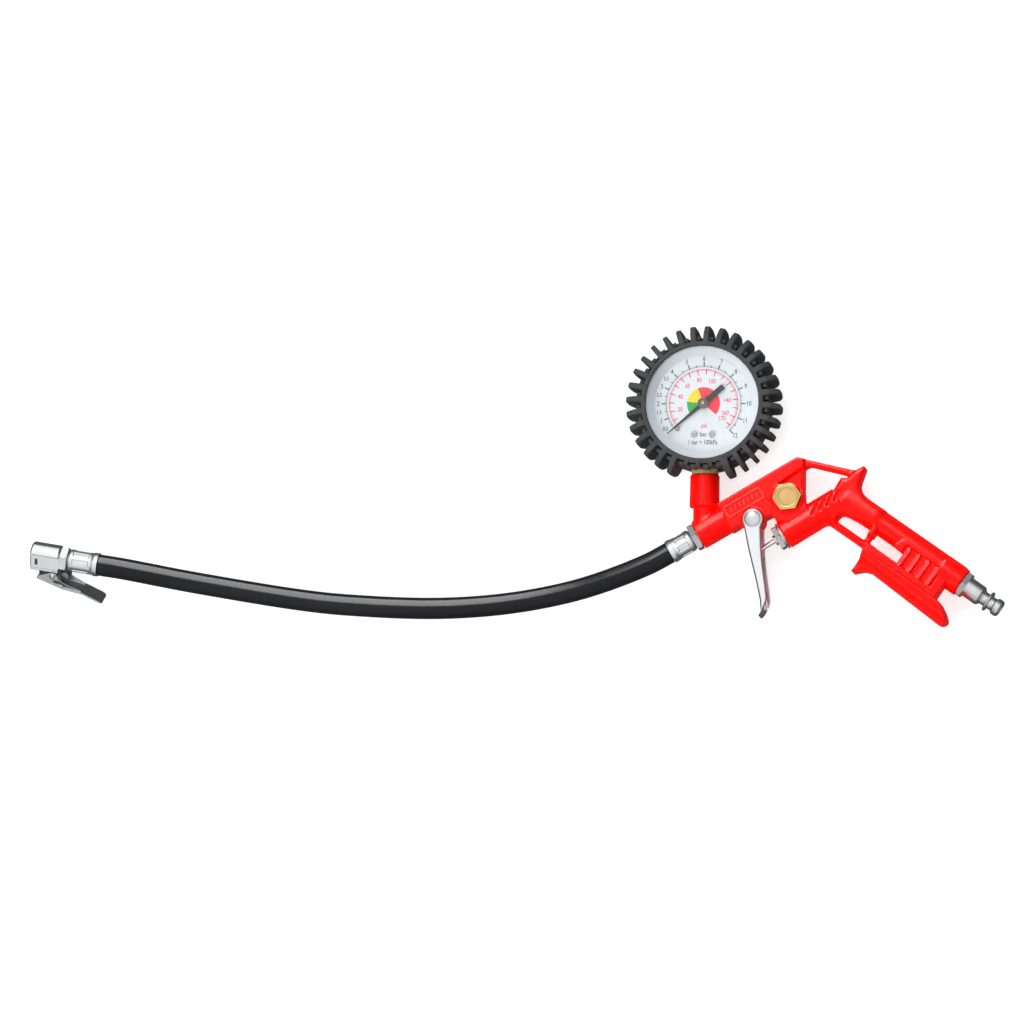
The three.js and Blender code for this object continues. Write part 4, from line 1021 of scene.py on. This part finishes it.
def make_gun_ferrule():
    add("ferrule_gun", ferrule(*GUN_FERRULE), OUTLET, "ferrule_steel", "hose_ferrule_gun")
    spindle = turned([(1.8, -10), (4.6, -10, 0.4), (4.6, 1), (3, 3), (3, 17), (1.8, 17)])
    fitting = merged(spindle, hexagon(14.2, 2.6, 0.3, 3.5))
    add("fitting_hexagon", fitting, OUTLET, "steel", "hose_fitting")


def make_chuck_ferrule():
    flipped = CHUCK @ Matrix.Translation((0, sum(CHUCK_FERRULE), 0)) @ Matrix.Rotation(math.pi, 4, "Z")
    return add("ferrule_chuck", ferrule(*CHUCK_FERRULE), flipped, "ferrule_steel", "hose_ferrule_chuck")


# ---------- tyre chuck ----------
CHUCK_RADIUS, CHUCK_START, CHUCK_TOP, CHUCK_BORE = 7.25, 21.9, 38.8, 4.3
KEEL_HALF, KEEL_DEPTH, SHOULDER, GROOVE = 4.8, 7.4, 3.2, 0.9
CHUCK_PIN_BORE = 1.2
CHUCK_LUG = [(-5, 22.6), (-10.6, 23.2, 2.2), (-10.6, 27, 2.2), (-5, 28.4)]
CLAW_SLOT = (-9, 32.6, -2.4), (-3.4, 34.8, 2.4)
SLIT = (-3.8, 34.6, 2), (-0.2, 35.9, 9)
SEAL_EDGE = [(-3.75, 34.65), (-0.25, 34.65), (-0.25, 35.85), (-3.75, 35.85)]
SEAL_EDGE_STARTS, SEAL_EDGE_THICKNESS = (4.0, -4.3), 0.3
TAIL_TURN = Matrix.Rotation(math.radians(-25), 4, "Y")


def make_chuck_tail():
    tail = merged(
        turned([(1.6, 1), (3, 1), (3, 17), (3.9, 18.5), (3.9, 24.5), (1.6, 24.5)]),
        moved(hexagon(12.6, 2.6, 17.7, 21.6), TAIL_TURN),
    )
    return add("chuck_tail_hexagon", tail, CHUCK, "chrome", "chuck_tail")


def chuck_field(x, y, z):
    """The chuck's body: a round front with a narrower keel on the lever's side."""
    shell = both(np.hypot(x, z) - CHUCK_RADIUS, span(y, CHUCK_START, CHUCK_TOP), 1.3)
    shell = cut(shell, both(x - SHOULDER, KEEL_HALF - np.abs(z), 0.1), 0.15)
    keel = box(x, y, z, (-KEEL_DEPTH, CHUCK_START + 0.6, -KEEL_HALF), (1.8, CHUCK_TOP - 0.4, KEEL_HALF), 0.5)
    lug = slab(x, y, z, CHUCK_LUG, -4.6, 4.6, 0.4)
    body = join(join(shell, keel, 0.3), lug, 0.4)
    groove = (SHOULDER - GROOVE, CHUCK_START - 1, 4.0), (SHOULDER, CHUCK_TOP + 1, 9)
    for tool in (
        rod(x, y, z, CHUCK_BORE, CHUCK_START - 1, CHUCK_TOP + 1, 0.2),
        box(x, y, z, *CLAW_SLOT, 0.2),
        box(x, y, np.abs(z), *SLIT, 0.1),
        box(x, y, np.abs(z), *groove, 0.05),
        np.hypot(x - CHUCK_PIVOT.x, y - CHUCK_PIVOT.y) - CHUCK_PIN_BORE,
    ):
        body = cut(body, tool, 0.3)
    return body


def make_chuck_body():
    shape = skin(chuck_field, (-11, 21.5, -7.6), (7.6, 39.2, 7.6), step=0.2)
    body = add("chuck_shell", shape, CHUCK, "chrome", "chuck_body", sharp=None)
    edges = merged(*(prism(SEAL_EDGE, z, z + SEAL_EDGE_THICKNESS) for z in SEAL_EDGE_STARTS))
    return [body, add("seal_edge", edges, CHUCK, "seal_rubber")]


CLAW_CHEEK = [
    (-11.6, 34.2, 0.6), (-10.2, 34.2, 0.6), (-7.0, 26.4, 2), (-7.4, 23.2, 1.2), (-15.4, 18.4, 0.6),
    (-16.2, 18.6, 0.5),
]
CLAW = (-11, 33.2, -2), (-5.2, 34.2, 2)
FLANGE = [(-11.6, 25), (-9.6, 21.4, 2), (-12.2, 18.2, 2), (-15.8, 8.6, 0.5), (-17.2, 8.2), (-16.2, 18.6)]
FLANGE_MIDDLE, FLANGE_LEAN, FLANGE_HALF = 4.6, 0.35, 0.4
THUMB = [
    (-10.6, 34.2), (-15.2, 18.6), (-16.4, 7.9, 0.6), (-20.6, -3.8, 0.3), (-21.6, -3.8, 0.3),
    (-17.4, 7.9, 0.6), (-16.2, 18.6), (-11.6, 34.2),
]
CHEEK_FLOOR, CLIP_HALF = 5.1, 6.0
CORNER_Y, CORNER_Z, CORNER_RADIUS = -1.4, 3.2, 2.6


def clip_field(x, y, z):
    """The chuck's lever: two cheeks and a web with a claw in front, flaring to a thumb blade behind."""
    height = np.abs(z)
    cheeks = slab(x, y, height, CLAW_CHEEK, CHEEK_FLOOR, CLIP_HALF, 0.25)
    lean = height - FLANGE_MIDDLE - FLANGE_LEAN * (x + 16)
    flanges = both(polygon(x, y, rounded(FLANGE)), np.abs(lean) - FLANGE_HALF, 0.2)
    web = slab(x, y, z, THUMB, -CLIP_HALF, CLIP_HALF, 0.35)
    corner_cut = np.hypot(y - CORNER_Y, height - CORNER_Z) - CORNER_RADIUS
    blade = both(web, np.where((y < CORNER_Y) & (height > CORNER_Z), corner_cut, -9), 0.2)
    made = join(join(cheeks, flanges, 0.2), blade, 0.4)
    made = join(made, box(x, y, z, *CLAW, 0.3), 0.3)
    return cut(made, np.hypot(x - CHUCK_PIVOT.x, y - CHUCK_PIVOT.y) - CHUCK_PIN_BORE, 0.1)


def make_chuck_lever():
    shape = skin(clip_field, (-22, -4.5, -7.8), (-4.8, 34.8, 7.8), step=0.2)
    return add("clip_lever", shape, CHUCK, "lever_steel", "chuck_lever", body="chuck_lever", sharp=None)


SPRING_AT = CHUCK @ Matrix.Translation((-9.9, 19.1, 0))


def make_chuck_pin_and_spring():
    head = [(0, 7.1), (1.0, 7.0, 0.3), (1.7, 6.5, 0.2), (1.7, 6.3), (0.9, 6.3)]
    pin = disc(mirrored(head), 48, closed=False)
    pivot = CHUCK @ Matrix.Translation((CHUCK_PIVOT.x, CHUCK_PIVOT.y, 0))
    rivet = add("chuck_rivet", pin, pivot, "steel", "chuck_pin")
    drum = disc([(0, -4.4), (2.7, -4.4, 0.5), (2.7, 2.6, 0.9), (0, 2.8)], 64, closed=False)
    return [rivet, add("spring_drum", drum, SPRING_AT, "spring_steel", "chuck_spring")]


# ---------- stage ----------
# Each lamp's name, place and size in metres, radiance, and what it lights: the diffuse or the glossy side of
# everything, or the glossy side of the paint and the hose alone.
LAMPS = [
    ("window_light", (-0.12, 0.85, 0.66), (0.7, 1.5), 2.2, "diffuse"),
    ("window_pane", (-0.12, 0.86, 0.67), (0.7, 1.5), 0.9, "glossy"),
    ("window_sheen", (-0.12, 0.87, 0.68), (0.7, 1.5), 20, "paint"),
    ("key", (-0.8, -0.75, 1.0), (0.8, 0.8), 7.5, "diffuse"),
    ("rim", (-0.1, -1.5, 0.55), (2.4, 0.9), 0.55, "glossy"),
]
PAINT = ("gun_casting", "label_frame", "hose_line")
ZENITH, HORIZON = 1.05, 0.1
SKY_TINT = (0.95, 0.975, 1.0, 1)
FLOOR_SIZE = 6
look(
    "floor", (0.44, 0.44, 0.44), (0.46, 0.46, 0.46), (0.8, 0.9), grain=40, relief=0,
    Emission_Color=(1, 1, 1, 1), Emission_Strength=0.72,
)


def sky():
    """A studio that is bright overhead and dark at the horizon."""
    world = bpy.data.worlds.new("studio")
    world.use_nodes = True
    nodes, links = world.node_tree.nodes, world.node_tree.links
    background = nodes["Background"]
    background.inputs["Color"].default_value = SKY_TINT
    where, split, ramp = (nodes.new("ShaderNode" + n) for n in ("TexCoord", "SeparateXYZ", "MapRange"))
    ramp.interpolation_type = "SMOOTHSTEP"
    ramp.inputs["From Min"].default_value, ramp.inputs["From Max"].default_value = 0.25, 0.95
    ramp.inputs["To Min"].default_value, ramp.inputs["To Max"].default_value = HORIZON, ZENITH
    links.new(where.outputs["Generated"], split.inputs["Vector"])
    links.new(split.outputs["Z"], ramp.inputs["Value"])
    links.new(ramp.outputs["Result"], background.inputs["Strength"])
    return world


def make_floor(centre):
    bpy.ops.mesh.primitive_plane_add(size=FLOOR_SIZE, location=centre)
    floor = bpy.context.object
    floor.name = "floor"
    floor.data.materials.append(LOOKS["floor"])
    floor.visible_glossy = False


def make_lamps(centre):
    paint = bpy.data.collections.new("paint_and_hose")
    for name in PAINT:
        paint.objects.link(bpy.data.objects[name])
    for name, offset, size, radiance, lights in LAMPS:
        data = bpy.data.lights.new(name, "AREA")
        data.shape, data.size, data.size_y = "RECTANGLE", *size
        data.energy = radiance * math.pi * size[0] * size[1]
        lamp = bpy.data.objects.new(name, data)
        bpy.context.scene.collection.objects.link(lamp)
        lamp.location = centre + Vector(offset)
        lamp.rotation_euler = (-Vector(offset)).to_track_quat("-Z", "Y").to_euler()
        lamp.visible_diffuse, lamp.visible_glossy = lights == "diffuse", lights != "diffuse"
        if lights == "paint":
            lamp.light_linking.receiver_collection = paint


def make_stage():
    bpy.context.scene.view_settings.view_transform = "Standard"
    centre = flat(CAMERA_TARGET)
    make_floor(centre)
    bpy.context.scene.world = sky()
    make_lamps(centre)


make_camera()
make_gun_ferrule()
on_hose = [make_chuck_ferrule(), make_chuck_tail(), *make_chuck_body(), make_chuck_lever()]
on_hose += [*make_chuck_pin_and_spring(), frame["nodes"]["chuck_seal"], frame["nodes"]["chuck_depressor"]]
make_hose()
make_gun()
make_inlet_plug()
make_valve_plug()
make_gland()
make_valve_stem()
make_valve_spring()
make_trigger()
make_boot()
make_gauge_shell()
make_pointer()
make_dial_screws()
make_print()
dress_cad_nodes()
make_stage()
